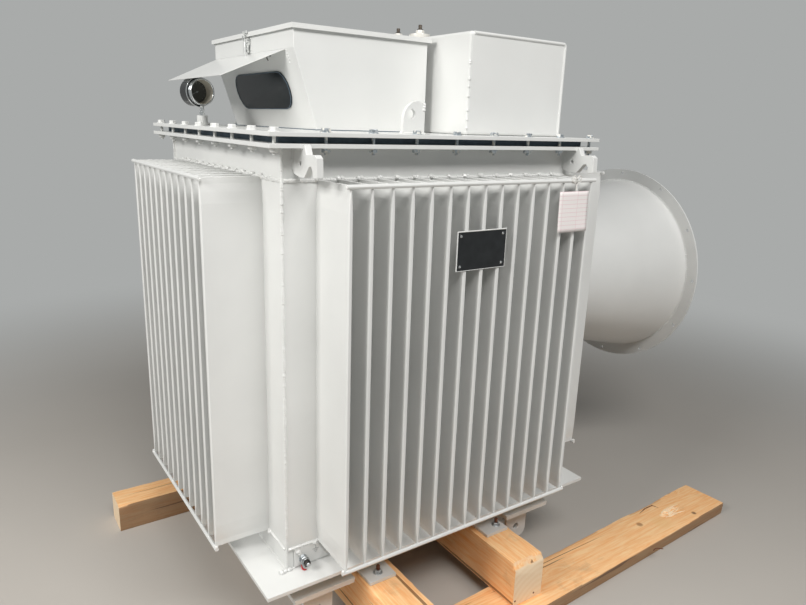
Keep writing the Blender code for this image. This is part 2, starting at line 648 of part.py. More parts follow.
# Rain visor welded across the window panel just under its fold, a sheet with a slanted front edge
visor_out = Vector((-math.cos(VISOR_FALL), 0, -math.sin(VISOR_FALL)))
visor_under = visor_out.cross(along_box)
visor_axes = Matrix((visor_out, along_box, visor_under)).transposed().to_4x4()
root_gap = SEAT + VISOR_THICKNESS / 2 * math.tan(abs(VISOR_FALL - slope))
visor_root = at(BOX_FROM_LEFT, BOX_FROM_FRONT + VISOR_FROM_FRONT, on_cover + PANEL_HEIGHT) + down_panel * VISOR_DOWN
visor_root += visor_out * root_gap + visor_under * VISOR_THICKNESS / 2
visor_length = BOX_DEPTH - VISOR_FROM_FRONT
visor = [(0, 0), (VISOR_REACH, VISOR_FRONT_SLANT), (VISOR_REACH, visor_length), (0, visor_length)]
plate("window_visor", [visor], VISOR_THICKNESS, Matrix.Translation(visor_root) @ visor_axes, enamel)

# Lid: a folded tray over the box, hinged along its right side
lid_low = on_cover + BOX_HEIGHT + SEAT
lid_top = lid_low + LID_SHEET
hinge_axis = at(box_right + LID_OVERHANG + HINGE_KNUCKLE_RADIUS + SEAT, box_middle, lid_top - HINGE_DROP)
lid_box_low = at(BOX_FROM_LEFT - LID_OVERHANG, BOX_FROM_FRONT - LID_OVERHANG, lid_top - LID_LIP)
lid_box_high = at(box_right + LID_OVERHANG, BOX_FROM_FRONT + BOX_DEPTH + LID_OVERHANG, lid_top)
lid = box("terminal_box_lid", lid_box_low, lid_box_high, enamel)
fold = Vector((LID_SHEET, LID_SHEET, 0))
tray_low = lid_box_low + fold - Vector((0, 0, OVERRUN))
tray_high = lid_box_high - fold - Vector((0, 0, LID_SHEET))
combine(lid, box("lid_hollow", tray_low, tray_high, enamel), "DIFFERENCE")
half_moving = HINGE_LENGTH / 2 - HINGE_END_KNUCKLE - WELD
tab_low = hinge_axis + Vector((-HINGE_KNUCKLE_RADIUS - WELD, -half_moving, 0))
tab_high = hinge_axis + Vector((0, half_moving, HINGE_KNUCKLE_RADIUS))
combine(lid, box("lid_tab", tab_low, tab_high, enamel), "UNION")


def hinge_rod(name, start, end, radius, sides=16):
    """A round bar on the lid's hinge axis."""
    return rod(name, hinge_axis + Vector((0, start, 0)), hinge_axis + Vector((0, end, 0)), radius, enamel, sides)


combine(lid, hinge_rod("lid_knuckle", -half_moving, half_moving, HINGE_KNUCKLE_RADIUS), "UNION")
combine(lid, hinge_rod("lid_bore", -half_moving - OVERRUN, half_moving + OVERRUN, HINGE_PIN_RADIUS + SEAT), "DIFFERENCE")

# Hinge leaf on the box with its end knuckles and pin
half_hinge = HINGE_LENGTH / 2
shelf_low = hinge_axis.z - HINGE_KNUCKLE_RADIUS
wall_x = corner.x + box_right + SEAT
leaf = box("lid_hinge", Vector((wall_x, hinge_axis.y - half_hinge, shelf_low + HINGE_LEAF - HINGE_LEAF_HEIGHT)),
           Vector((wall_x + HINGE_LEAF, hinge_axis.y + half_hinge, shelf_low + HINGE_LEAF)), enamel)
for start in (-half_hinge, half_hinge - HINGE_END_KNUCKLE):
    low = Vector((wall_x, hinge_axis.y + start, shelf_low))
    high = Vector((hinge_axis.x, low.y + HINGE_END_KNUCKLE, shelf_low + HINGE_LEAF))
    combine(leaf, box("lid_hinge_shelf", low, high, enamel), "UNION")
    combine(leaf, hinge_rod("lid_hinge_knuckle", start, start + HINGE_END_KNUCKLE, HINGE_KNUCKLE_RADIUS), "UNION")
combine(leaf, hinge_rod("lid_hinge_pin", WELD - half_hinge, half_hinge - WELD, HINGE_PIN_RADIUS), "UNION")

# Toggle latch on the box, seen from its end as a base with a bent lever, and its keeper on the lid
latch_y = BOX_FROM_FRONT + LATCH_FROM_FRONT
latch_top = lid_top - LID_LIP - KEEPER_GAP
lever = [(-share_x * LATCH_THICKNESS - SEAT, -share_z * LATCH_HEIGHT) for share_x, share_z in LATCH_OUTLINE_SHARES]
plate("toggle_latch", [lever], LATCH_WIDTH, Matrix.Translation(at(BOX_FROM_LEFT, latch_y, latch_top)) @ facing, zinc)
claw = [(-share_x * KEEPER_REACH - SEAT, -share_z * LID_LIP) for share_x, share_z in KEEPER_OUTLINE_SHARES]
plate("latch_keeper", [claw], LATCH_WIDTH / 2,
      Matrix.Translation(at(BOX_FROM_LEFT - LID_OVERHANG, latch_y, lid_top)) @ facing, zinc)

# Second box, closed
spare_x = box_right + SPARE_BOX_SPACING
edge_round(box("second_box", at(spare_x, SPARE_BOX_FROM_FRONT, on_cover),
               at(spare_x + SPARE_BOX_LENGTH, SPARE_BOX_FROM_FRONT + SPARE_BOX_DEPTH, on_cover + SPARE_BOX_HEIGHT),
               enamel), SPARE_BOX_EDGE, 3)


def shedded(base_radius, base_height, core_radius, shed_radius, count, length, head_radius, head_height):
    """The turned profile of a shedded insulator, from the middle of its top down to its foot."""
    points = [(0, length), (head_radius, length), (head_radius, length - head_height), (core_radius, length - head_height)]
    run = length - head_height - base_height
    pitch = run / count
    for k in range(count):
        top = length - head_height - k * pitch
        points += [(core_radius, top - pitch / 4), (shed_radius, top - pitch * 5 / 8),
                   (shed_radius, top - pitch * 3 / 4), (core_radius, top - pitch * 3 / 4)]
    points += [(core_radius, base_height), (base_radius, base_height), (base_radius, 0), (0, 0)]
    return points


# Stud terminals: white insulated heads on shedded bodies, each with a brass stud and nut
terminal = shedded(TERMINAL_BASE_RADIUS, TERMINAL_BASE_HEIGHT, TERMINAL_CORE_RADIUS, TERMINAL_SHED_RADIUS,
                   TERMINAL_SHED_COUNT, TERMINAL_HEIGHT, TERMINAL_HEAD_RADIUS, TERMINAL_HEAD_HEIGHT)
for k in range(2):
    foot = at(box_right + TERMINAL_FROM_BOX, TERMINAL_FROM_FRONT + k * TERMINAL_SPACING, on_cover)
    turned("terminal_insulator_%d" % (k + 1), terminal, Matrix.Translation(foot), porcelain)
    seat = foot + Vector((0, 0, TERMINAL_HEIGHT + SEAT))
    stud = rod("terminal_stud_%d" % (k + 1), seat, seat + Vector((0, 0, STUD_NUT_HEIGHT)), STUD_NUT_RADIUS, brass, 6)
    pin = rod("terminal_pin", seat + Vector((0, 0, WELD)), seat + Vector((0, 0, STUD_HEIGHT)), STUD_RADIUS, brass)
    combine(stud, pin, "UNION")

# Dial thermometer standing in its pocket
pocket_foot = at(DIAL_FROM_LEFT, DIAL_FROM_FRONT, on_cover)
stem_top = DIAL_HEIGHT - DIAL_RADIUS - SEAT
pocket = [(0, stem_top), (STEM_RADIUS, stem_top), (STEM_RADIUS, POCKET_HEIGHT), (POCKET_RADIUS, POCKET_HEIGHT),
          (POCKET_RADIUS, POCKET_FOOT_HEIGHT), (POCKET_FOOT_RADIUS, POCKET_FOOT_HEIGHT), (POCKET_FOOT_RADIUS, 0),
          (0, 0)]
turned("thermometer_pocket", pocket, Matrix.Translation(pocket_foot), enamel)
dial_out = Vector((math.sin(DIAL_TURN), -math.cos(DIAL_TURN), 0))
dial_axes = dial_out.to_track_quat("Z", "Y").to_matrix().to_4x4()
dial_front = DIAL_BEZEL_DEPTH / 2
dial = [(0, dial_front - DIAL_RECESS), (DIAL_RADIUS - DIAL_RIM, dial_front - DIAL_RECESS),
        (DIAL_RADIUS - DIAL_RIM, dial_front), (DIAL_RADIUS, dial_front),
        (DIAL_RADIUS, dial_front - DIAL_BEZEL_DEPTH), (DIAL_CASE_RADIUS, dial_front - DIAL_BEZEL_DEPTH),
        (DIAL_CASE_RADIUS, dial_front - DIAL_DEPTH), (0, dial_front - DIAL_DEPTH)]
turned("dial_thermometer", dial, Matrix.Translation(pocket_foot + Vector((0, 0, DIAL_HEIGHT))) @ dial_axes, chrome, 32)

# Outlet duct: a cone from the right-hand wall to a bolting flange, with the bushing inside
duct_axes = Matrix.Translation(at(TANK_LENGTH + SEAT, DUCT_FROM_FRONT, DUCT_HEIGHT)) @ Matrix.Rotation(quarter, 4, "Y")
cone = [(DUCT_MOUTH_RADIUS, DUCT_LENGTH), (DUCT_FOOT_RADIUS, 0), (DUCT_FOOT_RADIUS - DUCT_WALL, 0),
        (DUCT_MOUTH_RADIUS - DUCT_WALL, DUCT_LENGTH)]
turned("outlet_cone", cone, duct_axes, enamel, DUCT_STEPS)
slack = SEAT / math.cos(math.pi / DUCT_STEPS)
flange = [circle(0, 0, FLANGE_RADIUS, DUCT_STEPS), circle(0, 0, DUCT_MOUTH_RADIUS + slack, DUCT_STEPS)]
for k in range(FLANGE_HOLE_COUNT):
    turn = math.tau * k / FLANGE_HOLE_COUNT
    flange.append(circle(FLANGE_HOLE_CIRCLE * math.cos(turn), FLANGE_HOLE_CIRCLE * math.sin(turn),
                         FLANGE_HOLE_RADIUS, 12))
plate("outlet_flange", flange, FLANGE_THICKNESS,
      duct_axes @ Matrix.Translation(Vector((0, 0, DUCT_LENGTH - FLANGE_THICKNESS / 2))), enamel)
bushing = shedded(BUSHING_BASE_RADIUS, BUSHING_BASE_THICKNESS, BUSHING_CORE_RADIUS, BUSHING_SHED_RADIUS,
                  BUSHING_SHED_COUNT, BUSHING_LENGTH, BUSHING_CORE_RADIUS, BUSHING_BASE_THICKNESS)
turned("outlet_bushing", bushing, duct_axes, porcelain)
stud_foot = duct_axes @ Vector((0, 0, BUSHING_LENGTH + SEAT))
stud_end = duct_axes @ Vector((0, 0, BUSHING_LENGTH + BUSHING_STUD_LENGTH))
rod("outlet_stud", stud_foot, stud_end, BUSHING_STUD_RADIUS, brass)

# Nameplate on the front fins, and the earth bracket at the foot of the front wall
nameplate_high = FIN_LOW + fin_height - NAMEPLATE_BELOW_FIN_TOP
nameplate_back = -FRONT_FIN_DEPTH - SEAT
box("nameplate", at(NAMEPLATE_FROM_LEFT, nameplate_back - NAMEPLATE_THICKNESS, nameplate_high - NAMEPLATE_HEIGHT),
    at(NAMEPLATE_FROM_LEFT + NAMEPLATE_LENGTH, nameplate_back, nameplate_high), black_plate)
earth = [(0, 0), (EARTH_LENGTH, 0), (EARTH_LENGTH - EARTH_END_SLANT, EARTH_HEIGHT - EARTH_TOP_FALL), (0, EARTH_HEIGHT)]
plate("earth_bracket", [earth], EARTH_THICKNESS,
      Matrix.Translation(at(EARTH_FROM_LEFT, -SEAT - EARTH_THICKNESS / 2, EARTH_LOW)) @ facing, enamel)
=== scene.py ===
"""Looks of an oil-filled power transformer with a corrugated tank and a side outlet duct.

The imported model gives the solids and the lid's hinge. This script adds the finishes and the fine
pieces, such as bolts, weld beads, the dial and the tag. Lengths are in metres and angles in radians.
"""

import json
import math
import random

import bmesh
import bpy
from mathutils import Matrix, Vector, noise


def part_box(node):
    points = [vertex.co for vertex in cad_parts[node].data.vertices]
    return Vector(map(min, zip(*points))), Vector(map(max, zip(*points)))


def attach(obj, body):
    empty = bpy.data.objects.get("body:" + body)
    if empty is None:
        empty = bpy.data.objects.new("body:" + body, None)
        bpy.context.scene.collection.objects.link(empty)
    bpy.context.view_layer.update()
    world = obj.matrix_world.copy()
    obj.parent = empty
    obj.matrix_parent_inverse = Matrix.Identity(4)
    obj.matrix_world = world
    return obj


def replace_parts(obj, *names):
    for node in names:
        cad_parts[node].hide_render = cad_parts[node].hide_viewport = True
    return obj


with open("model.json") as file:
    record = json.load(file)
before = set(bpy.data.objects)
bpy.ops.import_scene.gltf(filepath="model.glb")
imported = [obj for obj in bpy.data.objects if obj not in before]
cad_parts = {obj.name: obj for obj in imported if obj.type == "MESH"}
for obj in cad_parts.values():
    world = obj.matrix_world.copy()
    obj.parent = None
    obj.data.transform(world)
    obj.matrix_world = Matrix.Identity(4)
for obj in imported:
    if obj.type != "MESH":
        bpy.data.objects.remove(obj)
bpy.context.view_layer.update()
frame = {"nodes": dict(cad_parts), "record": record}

# Camera at the eye height of a person who stands 1.4 m from the tank's near corner.
# The focal length is in pixels of the photograph, which is 806 pixels wide.
PHOTO_WIDTH_PX = 806
FOCAL_LENGTH_PX = 664.8
CAMERA_PLACE = Vector((-1.5153, -1.9187, 1.5968))
CAMERA_HEADING = math.radians(34.65)
CAMERA_FALL = math.radians(15.18)
CAMERA_ROLL = math.radians(1.99)

camera_data = bpy.data.cameras.new("camera")
camera_data.sensor_width = 36
camera_data.lens = camera_data.sensor_width * FOCAL_LENGTH_PX / PHOTO_WIDTH_PX
camera = bpy.data.objects.new("camera", camera_data)
bpy.context.scene.collection.objects.link(camera)
camera_turn = Matrix.Rotation(-CAMERA_HEADING, 4, "Z") @ Matrix.Rotation(math.pi / 2 - CAMERA_FALL, 4, "X")
camera.matrix_world = Matrix.Translation(CAMERA_PLACE) @ camera_turn @ Matrix.Rotation(CAMERA_ROLL, 4, "Z")
bpy.context.scene.camera = camera
bpy.context.scene.view_settings.view_transform = "Standard"


# Stage: a pale matt floor that fades into a pale backdrop. One soft lamp stands on the left, like an open
# hall door, and one hangs high in front, so the gaps between the fins fall into cool shade.
def colour(hex_value):
    """An sRGB hex colour as linear red, green, blue and alpha."""
    shares = [int(hex_value[k:k + 2], 16) / 255 for k in (1, 3, 5)]
    return (*[c / 12.92 if c <= 0.04045 else ((c + 0.055) / 1.055) ** 2.4 for c in shares], 1)


def node(tree, kind, settings=None, **inputs):
    """Adds a shader node with its options, and sets or links its inputs by name or, as i0, by number."""
    made = tree.nodes.new("ShaderNode" + kind)
    for name, value in (settings or {}).items():
        setattr(made, name, value)
    for name, value in inputs.items():
        socket = made.inputs[int(name[1:])] if name[1:].isdigit() else made.inputs[name.replace("_", " ")]
        if isinstance(value, bpy.types.NodeSocket):
            tree.links.new(value, socket)
        else:
            socket.default_value = value
    return made


def surface(name, low, high, roughness, patch, metallic=0.0, grit=0.0, grit_height=0.0):
    """A Principled material whose colour and roughness drift between two values over patches of a real size.

    Grit, where it is given, is the size of its fine bumps. Returns the material, its tree, its shader,
    the place and the drift, so that a section can work it up.
    """
    material = bpy.data.materials.new(name)
    material.use_nodes = True
    tree = material.node_tree
    shader = tree.nodes["Principled BSDF"]
    place = node(tree, "TexCoord").outputs["Object"]
    drift = node(tree, "TexNoise", Vector=place, Scale=1 / patch, Detail=4.0).outputs["Fac"]
    spread = node(tree, "MapRange", Value=drift, From_Min=0.3, From_Max=0.7).outputs[0]
    tone = node(tree, "Mix", {"data_type": "RGBA"}, i0=spread, i6=colour(low), i7=colour(high))
    tree.links.new(tone.outputs[2], shader.inputs["Base Color"])
    gloss = node(tree, "MapRange", Value=spread, To_Min=roughness[0], To_Max=roughness[1])
    tree.links.new(gloss.outputs[0], shader.inputs["Roughness"])
    shader.inputs["Metallic"].default_value = metallic
    if grit:
        grain = node(tree, "TexNoise", Vector=place, Scale=1 / grit, Detail=2.0)
        bump = node(tree, "Bump", Strength=1.0, Distance=grit_height, Height=grain.outputs["Fac"])
        tree.links.new(bump.outputs[0], shader.inputs["Normal"])
    return material, tree, shader, place, spread


BACKDROP = "#a9abaa"
SKY_STRENGTH = 0.09
FLOOR_HALF = 40.0
FLOOR_CLOUD = 1.5
FADE_START = 1.7
FADE_END = 4.8
floor_mesh = bpy.data.meshes.new("floor")
cage = bmesh.new()
bmesh.ops.create_grid(cage, x_segments=1, y_segments=1, size=FLOOR_HALF)
cage.to_mesh(floor_mesh)
cage.free()
floor = bpy.data.objects.new("floor", floor_mesh)
bpy.context.scene.collection.objects.link(floor)
pale_floor, tree, shader, place, drift = surface("pale_floor", "#b4afa8", "#bab5ae", (0.9, 0.95), FLOOR_CLOUD)
away = node(tree, "VectorMath", {"operation": "LENGTH"}, i0=place).outputs["Value"]
fade = node(tree, "MapRange", {"interpolation_type": "SMOOTHSTEP"}, Value=away, From_Min=FADE_START,
            From_Max=FADE_END).outputs[0]
glow = node(tree, "Emission", Color=colour(BACKDROP), Strength=1.0)
faded = node(tree, "MixShader", i0=fade, i1=shader.outputs[0], i2=glow.outputs[0])
tree.links.new(faded.outputs[0], tree.nodes["Material Output"].inputs["Surface"])
floor_mesh.materials.append(pale_floor)

world = bpy.data.worlds.new("studio")
bpy.context.scene.world = world
world.use_nodes = True
sky = world.node_tree
sky.nodes.clear()
rays = node(sky, "LightPath").outputs
mirrored = node(sky, "Math", {"operation": "MAXIMUM"}, i0=rays["Is Glossy Ray"],
                i1=rays["Is Transmission Ray"])
seen = node(sky, "Math", {"operation": "MAXIMUM"}, i0=rays["Is Camera Ray"], i1=mirrored.outputs[0])
ambient = node(sky, "Background", Color=colour("#d9e4ea"), Strength=SKY_STRENGTH)
background = node(sky, "Background", Color=colour(BACKDROP), Strength=1.0)
either = node(sky, "MixShader", i0=seen.outputs[0], i1=ambient.outputs[0], i2=background.outputs[0])
node(sky, "OutputWorld", Surface=either.outputs[0])


def lamp(name, place, target, size, power, tint):
    """A soft rectangular lamp aimed at a point."""
    data = bpy.data.lights.new(name, "AREA")
    data.shape = "RECTANGLE"
    data.size, data.size_y = size
    data.energy = power
    data.color = colour(tint)[:3]
    made = bpy.data.objects.new(name, data)
    bpy.context.scene.collection.objects.link(made)
    aim = Vector(target) - Vector(place)
    made.matrix_world = Matrix.Translation(Vector(place)) @ aim.to_track_quat("-Z", "Y").to_matrix().to_4x4()


# Each lamp's name, place, target, size, power in watts and tint.
LAMPS = (("door_lamp", (-4.6, -0.5, 3.5), (-0.4, 0, 0.8), (2.4, 1.4), 182, "#fffdfa"),
         ("front_lamp", (-0.7, -3.6, 5.1), (0, -0.4, 0.7), (3.8, 1.6), 248, "#fffdfb"))
for entry in LAMPS:
    lamp(*entry)

# Tank and everything welded to it: mild steel, sprayed after welding in a warm grey-white gloss enamel.
# The eye sees even gloss, a faint orange peel 5 mm across, and walls that are not quite flat, so that
# reflections sway over a hand's width or two.
ENAMEL_CLOUD = 0.22
ORANGE_PEEL = 0.005
ORANGE_PEEL_HEIGHT = 0.00003
WALL_SWAY = 0.20
WALL_SWAY_HEIGHT = 0.0005
FOLDED_EDGE = 0.0012
SAME_POINT = 0.00001
SHARP_FOLD = math.radians(38)

enamel, tree, shader, place, drift = surface("grey_white_enamel", "#d9dad8", "#dfe0de", (0.30, 0.38),
                                             ENAMEL_CLOUD)
sway = node(tree, "TexNoise", Vector=place, Scale=1 / WALL_SWAY, Detail=1.0)
bent = node(tree, "Bump", Strength=1.0, Distance=WALL_SWAY_HEIGHT, Height=sway.outputs["Fac"])
peel = node(tree, "TexNoise", Vector=place, Scale=1 / ORANGE_PEEL, Detail=1.0)
peeled = node(tree, "Bump", Strength=1.0, Distance=ORANGE_PEEL_HEIGHT, Height=peel.outputs["Fac"],
              Normal=bent.outputs[0])
tree.links.new(peeled.outputs[0], shader.inputs["Normal"])
shader.inputs["Coat Weight"].default_value = 0.35
shader.inputs["Coat Roughness"].default_value = 0.12


def dress(name, material, edge=0.0):
    """Gives a CAD node its finish and, where an edge is given, rounds its edges by that radius."""
    made = frame["nodes"][name]
    made.data.materials.clear()
    made.data.materials.append(material)
    if edge:
        weld = made.modifiers.new("weld", "WELD")
        weld.merge_threshold = SAME_POINT
        bevel = made.modifiers.new("edge", "BEVEL")
        bevel.width = edge
        bevel.segments = 2
        bevel.limit_method = "ANGLE"
        bevel.angle_limit = SHARP_FOLD
        bevel.harden_normals = True


def corners(name):
    """The lowest and the highest corner of a CAD node, as vectors."""
    low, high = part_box(name)
    return Vector(low), Vector(high)


for entry in frame["record"]["subparts"]:
    if entry["material_slot"] == "grey_white_enamel":
        plain_edge = entry["node"].startswith("outlet") or entry["node"].endswith("cover_eye")
        dress(entry["node"], enamel, 0.0 if plain_edge else FOLDED_EDGE)

tank_low, tank_high = corners("tank")
base_low, base_high = corners("base_plate")
cover_low, cover_high = corners("cover")
rim_low, rim_high = corners("rim_flange")

# Weld beads: fillets laid by hand in overlapping ripples about 7 mm long, painted over with the tank.
# They run up the tank's corners, round its foot and under the rim.
RIPPLE = 0.007
STEPS_A_RIPPLE = 3
RIPPLE_SHAPE = (1.0, 0.95, 0.86)
RIPPLE_SWELL = (0.8, 1.2)
# Shares of a lump's radius: how far along it each ring lies, and how wide the ring is.
LUMP_SHAPE = ((-1.6, 0.45), (-0.8, 1.0), (0.8, 0.95), (1.6, 0.4))
LUMP_STRETCH = 0.7
FOOT_BEAD = 0.0042
FOOT_BEAD_LIFT = 0.001
CORNER_BEAD = 0.0046
CORNER_BEAD_OUT = 0.0012
FOOT_LUMP_SHIFTS = (-0.016, -0.004, 0.010)
FOOT_LUMP_RADII = (0.006, 0.008)
FOOT_LUMP_OUT = 0.004
FOOT_LUMP_LIFT = 0.003
UP = Vector((0, 0, 1))
luck = random.Random(7)


def piece(name, cage, material, body="transformer", sharp=35):
    """An object made of a finished cage, with its finish, its slot and the body that it rides on."""
    mesh = bpy.data.meshes.new(name)
    bmesh.ops.recalc_face_normals(cage, faces=cage.faces)
    cage.to_mesh(mesh)
    cage.free()
    mesh.shade_smooth()
    mesh.set_sharp_from_angle(angle=math.radians(sharp))
    mesh.materials.append(material)
    made = bpy.data.objects.new(name, mesh)
    bpy.context.scene.collection.objects.link(made)
    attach(made, body)
    return made


def skin(cage, rings, ends=True):
    """Faces between each ring of corners and the next and, where asked, over both ends."""
    for below, above in zip(rings, rings[1:]):
        for n in range(len(below)):
            cage.faces.new((below[n - 1], below[n], above[n], above[n - 1]))
    if ends:
        cage.faces.new(rings[0])
        cage.faces.new(rings[-1])


def tube(cage, points, radii, sides, closed=False):
    """A tube through points, with a radius at each."""
    rings = []
    count = len(points)
    side = None
    for k in range(count):
        before = points[k - 1] if k or closed else points[k]
        after = points[(k + 1) % count] if k < count - 1 or closed else points[k]
        along = (after - before).normalized()
        side = along.orthogonal() if side is None else side - along * side.dot(along)
        side.normalize()
        up = along.cross(side)
        rings.append([cage.verts.new(points[k] + radii[k] * (side * math.cos(turn) + up * math.sin(turn)))
                      for turn in (math.tau * n / sides for n in range(sides))])
    skin(cage, rings, ends=not closed)
    if closed:
        first, last = rings[0], rings[-1]
        shift = min(range(sides), key=lambda n: (first[n].co - last[0].co).length)
        skin(cage, [last, first[shift:] + first[:shift]], ends=False)


def wire(cage, points, radius, sides=8, closed=False):
    """An even tube through points."""
    tube(cage, [Vector(point) for point in points], [radius] * len(points), sides, closed)


def bead(cage, start, end, radius, sides=6):
    """A rippled weld from one place to another."""
    count = max(STEPS_A_RIPPLE, round((end - start).length / RIPPLE * STEPS_A_RIPPLE))
    points, radii = [], []
    swell = 1.0
    for k in range(count + 1):
        if k % STEPS_A_RIPPLE == 0:
            swell = luck.uniform(*RIPPLE_SWELL)
        points.append(start.lerp(end, k / count))
        radii.append(radius * swell * RIPPLE_SHAPE[k % STEPS_A_RIPPLE])
    tube(cage, points, radii, sides)


def around(low, high, height):
    """The four corners of a rectangle at a height, joined in a loop as pairs."""
    loop = [Vector((low.x, low.y, height)), Vector((high.x, low.y, height)),
            Vector((high.x, high.y, height)), Vector((low.x, high.y, height))]
    return list(zip(loop, loop[1:] + loop[:1]))


def lump(cage, middle, radius):
    """A short blob of weld."""
    turn = Matrix.Rotation(luck.uniform(0, math.tau), 4, "Z")
    reach = turn @ Vector((radius * LUMP_STRETCH, 0, 0))
    points = [middle + reach * along for along, wide in LUMP_SHAPE]
    tube(cage, points, [radius * wide for along, wide in LUMP_SHAPE], 8)


cage = bmesh.new()
for x, side_x in ((tank_low.x, -1), (tank_high.x, 1)):
    for y, side_y in ((tank_low.y, -1), (tank_high.y, 1)):
        outward = Vector((side_x, side_y, 0))
        spot = Vector((x, y, 0)) + outward * CORNER_BEAD_OUT
        bead(cage, spot + UP * base_high.z, spot + UP * rim_low.z, CORNER_BEAD)
        for shift in FOOT_LUMP_SHIFTS:
            spot = Vector((x + shift, y, base_high.z + FOOT_LUMP_LIFT)) + outward * FOOT_LUMP_OUT
            lump(cage, spot, luck.uniform(*FOOT_LUMP_RADII))
for height in (base_high.z + FOOT_BEAD_LIFT, rim_low.z):
    for start, end in around(tank_low, tank_high, height):
        bead(cage, start, end, FOOT_BEAD)
piece("tank_weld_beads", cage, enamel)

# Fin welds: each fold of sheet is closed at its ends by a thin bead and held to the round bars by a blob
# of weld on each side. A bead with a lump at every fold seals the corrugation to the wall.
BAR_RADIUS = 0.006
BAR_OVERHANG = 0.014
BAR_END_SET_IN = 0.004
BAR_END_LUMP = 0.0048
BAR_END_SINK = 0.002
CLOSING_BEAD = 0.0028
SEAL_BEAD = 0.0056
SEAL_BEAD_OUT = 0.003
NOSE_LUMP_RADII = (0.0026, 0.0038)
NOSE_LUMP_ASIDE = 0.005
NOSE_LUMP_LIFT = 0.001
ROOT_LUMP_RADII = (0.0055, 0.0072)
ROOT_LUMP_SHIFTS = {-1: (-0.012, 0.006, 0.022), 1: (-0.004, 0.004)}
ROOT_LUMP_SWAY = 0.003
ROOT_LUMP_OUT = 0.005
ROOT_LUMP_LIFT = 0.004
FIN_PITCH = 0.0606
FIN_LOW = 0.070
FIN_TOP = 1.130
# Each bank's node, its count of fins, the middle of its wall as shares, its run and the way it faces.
BANKS = (("front_fins", 15, (0.5, 0), (1, 0), (0, -1)), ("rear_fins", 15, (0.5, 1), (1, 0), (0, 1)),
         ("left_fins", 12, (0, 0.5), (0, 1), (-1, 0)), ("right_front_fins", 3, (1, 0), (0, 1), (1, 0)),
         ("right_rear_fins", 3, (1, 1), (0, 1), (1, 0)))
RIGHT_GROUP = 0.1226
corner = Vector((tank_low.x, tank_low.y, base_high.z))
tank_length = tank_high.x - tank_low.x
tank_depth = tank_high.y - tank_low.y


def at(x, y, z):
    """A place measured from the tank's front left corner, at the top of the base plate."""
    return corner + Vector((x, y, z))


cage = bmesh.new()
for name, count, wall_shares, run, across in BANKS:
    run, across = Vector((*run, 0)), Vector((*across, 0))
    low, high = corners(name)
    foot = at(tank_length * wall_shares[0], tank_depth * wall_shares[1], 0)
    if count == 3:
        foot += run * math.copysign(RIGHT_GROUP, 0.5 - wall_shares[1])
    depth = max(abs((low - foot).dot(across)), abs((high - foot).dot(across))) - BAR_RADIUS
    half_run = (count - 1) * FIN_PITCH / 2
    for level, away in ((FIN_LOW, -1), (FIN_TOP, 1)):
        for k in range(count):
            root = foot + run * (k * FIN_PITCH - half_run) + UP * level
            tip = root + across * depth + UP * away * NOSE_LUMP_LIFT
            for side in (-1, 1):
                lump(cage, tip + run * side * NOSE_LUMP_ASIDE, luck.uniform(*NOSE_LUMP_RADII))
            bead(cage, root, root + across * (depth - BAR_RADIUS), CLOSING_BEAD, 5)
            blob = root + across * ROOT_LUMP_OUT + UP * away * ROOT_LUMP_LIFT
            for shift in ROOT_LUMP_SHIFTS[away]:
                spot = blob + run * (shift + luck.uniform(-ROOT_LUMP_SWAY, ROOT_LUMP_SWAY))
                lump(cage, spot, luck.uniform(*ROOT_LUMP_RADII))
        edge = UP * level + foot + across * SEAL_BEAD_OUT
        reach = [(low - foot).dot(run), (high - foot).dot(run)]
        bead(cage, edge + run * min(reach), edge + run * max(reach), SEAL_BEAD)
        for side in (-1, 1):
            bar_end = foot + run * side * (half_run + BAR_OVERHANG - BAR_END_SET_IN) + across * depth
            lump(cage, bar_end + UP * (level - away * BAR_END_SINK), BAR_END_LUMP)
piece("fin_weld_beads", cage, enamel)

# Cover bolts: zinc-plated hexagon bolts, a washer under each head and nut, gripping cover, gasket and rim.
# The row on the left was sprayed over with the tank. The others show bluish zinc with specks of enamel.
BOLT_SET_IN = 0.0231
BOLTS_ALONG_X = 9
BOLTS_ALONG_Y = 8
SHANK_RADIUS = 0.0050
HEX_RADIUS = 0.0120
HEX_HEIGHT = 0.0085
WASHER_RADIUS = 0.0142
WASHER_THICKNESS = 0.0022
SHANK_STICKS_OUT = 0.006
OVERSPRAY_PATCH = 0.012
ZINC_CLOUD = 0.006
THREAD_PITCH = 0.00175
THREAD_ROOT_SHARE = 0.86
THREAD_END_SHARE = 0.8
# Profiles as shares of radius and height.
HEXAGON_SHAPE = ((0, 0), (1, 0), (1, 0.8), (0.86, 1), (0, 1))
WASHER_SHAPE = ((0, 0), (1, 0), (1, 0.7), (0.95, 1), (0, 1))

zinc = surface("zinc_plate", "#a9aeb1", "#d6d9da", (0.34, 0.52), ZINC_CLOUD, 1.0)[0]
sprayed, tree, shader, place, drift = surface("oversprayed_zinc", "#a4adb4", "#d3d8dc", (0.3, 0.46),
                                              ZINC_CLOUD, 1.0)
patch = node(tree, "TexNoise", Vector=place, Scale=1 / OVERSPRAY_PATCH, Detail=3.0)
covered = node(tree, "MapRange", Value=patch.outputs["Fac"], From_Min=0.52, From_Max=0.58)
bare_tone = shader.inputs["Base Color"].links[0].from_socket
tone = node(tree, "Mix", {"data_type": "RGBA"}, i0=covered.outputs[0], i6=bare_tone,
            i7=colour("#dfddd6"))
tree.links.new(tone.outputs[2], shader.inputs["Base Color"])
metal = node(tree, "MapRange", Value=covered.outputs[0], To_Min=1.0, To_Max=0.0)
tree.links.new(metal.outputs[0], shader.inputs["Metallic"])


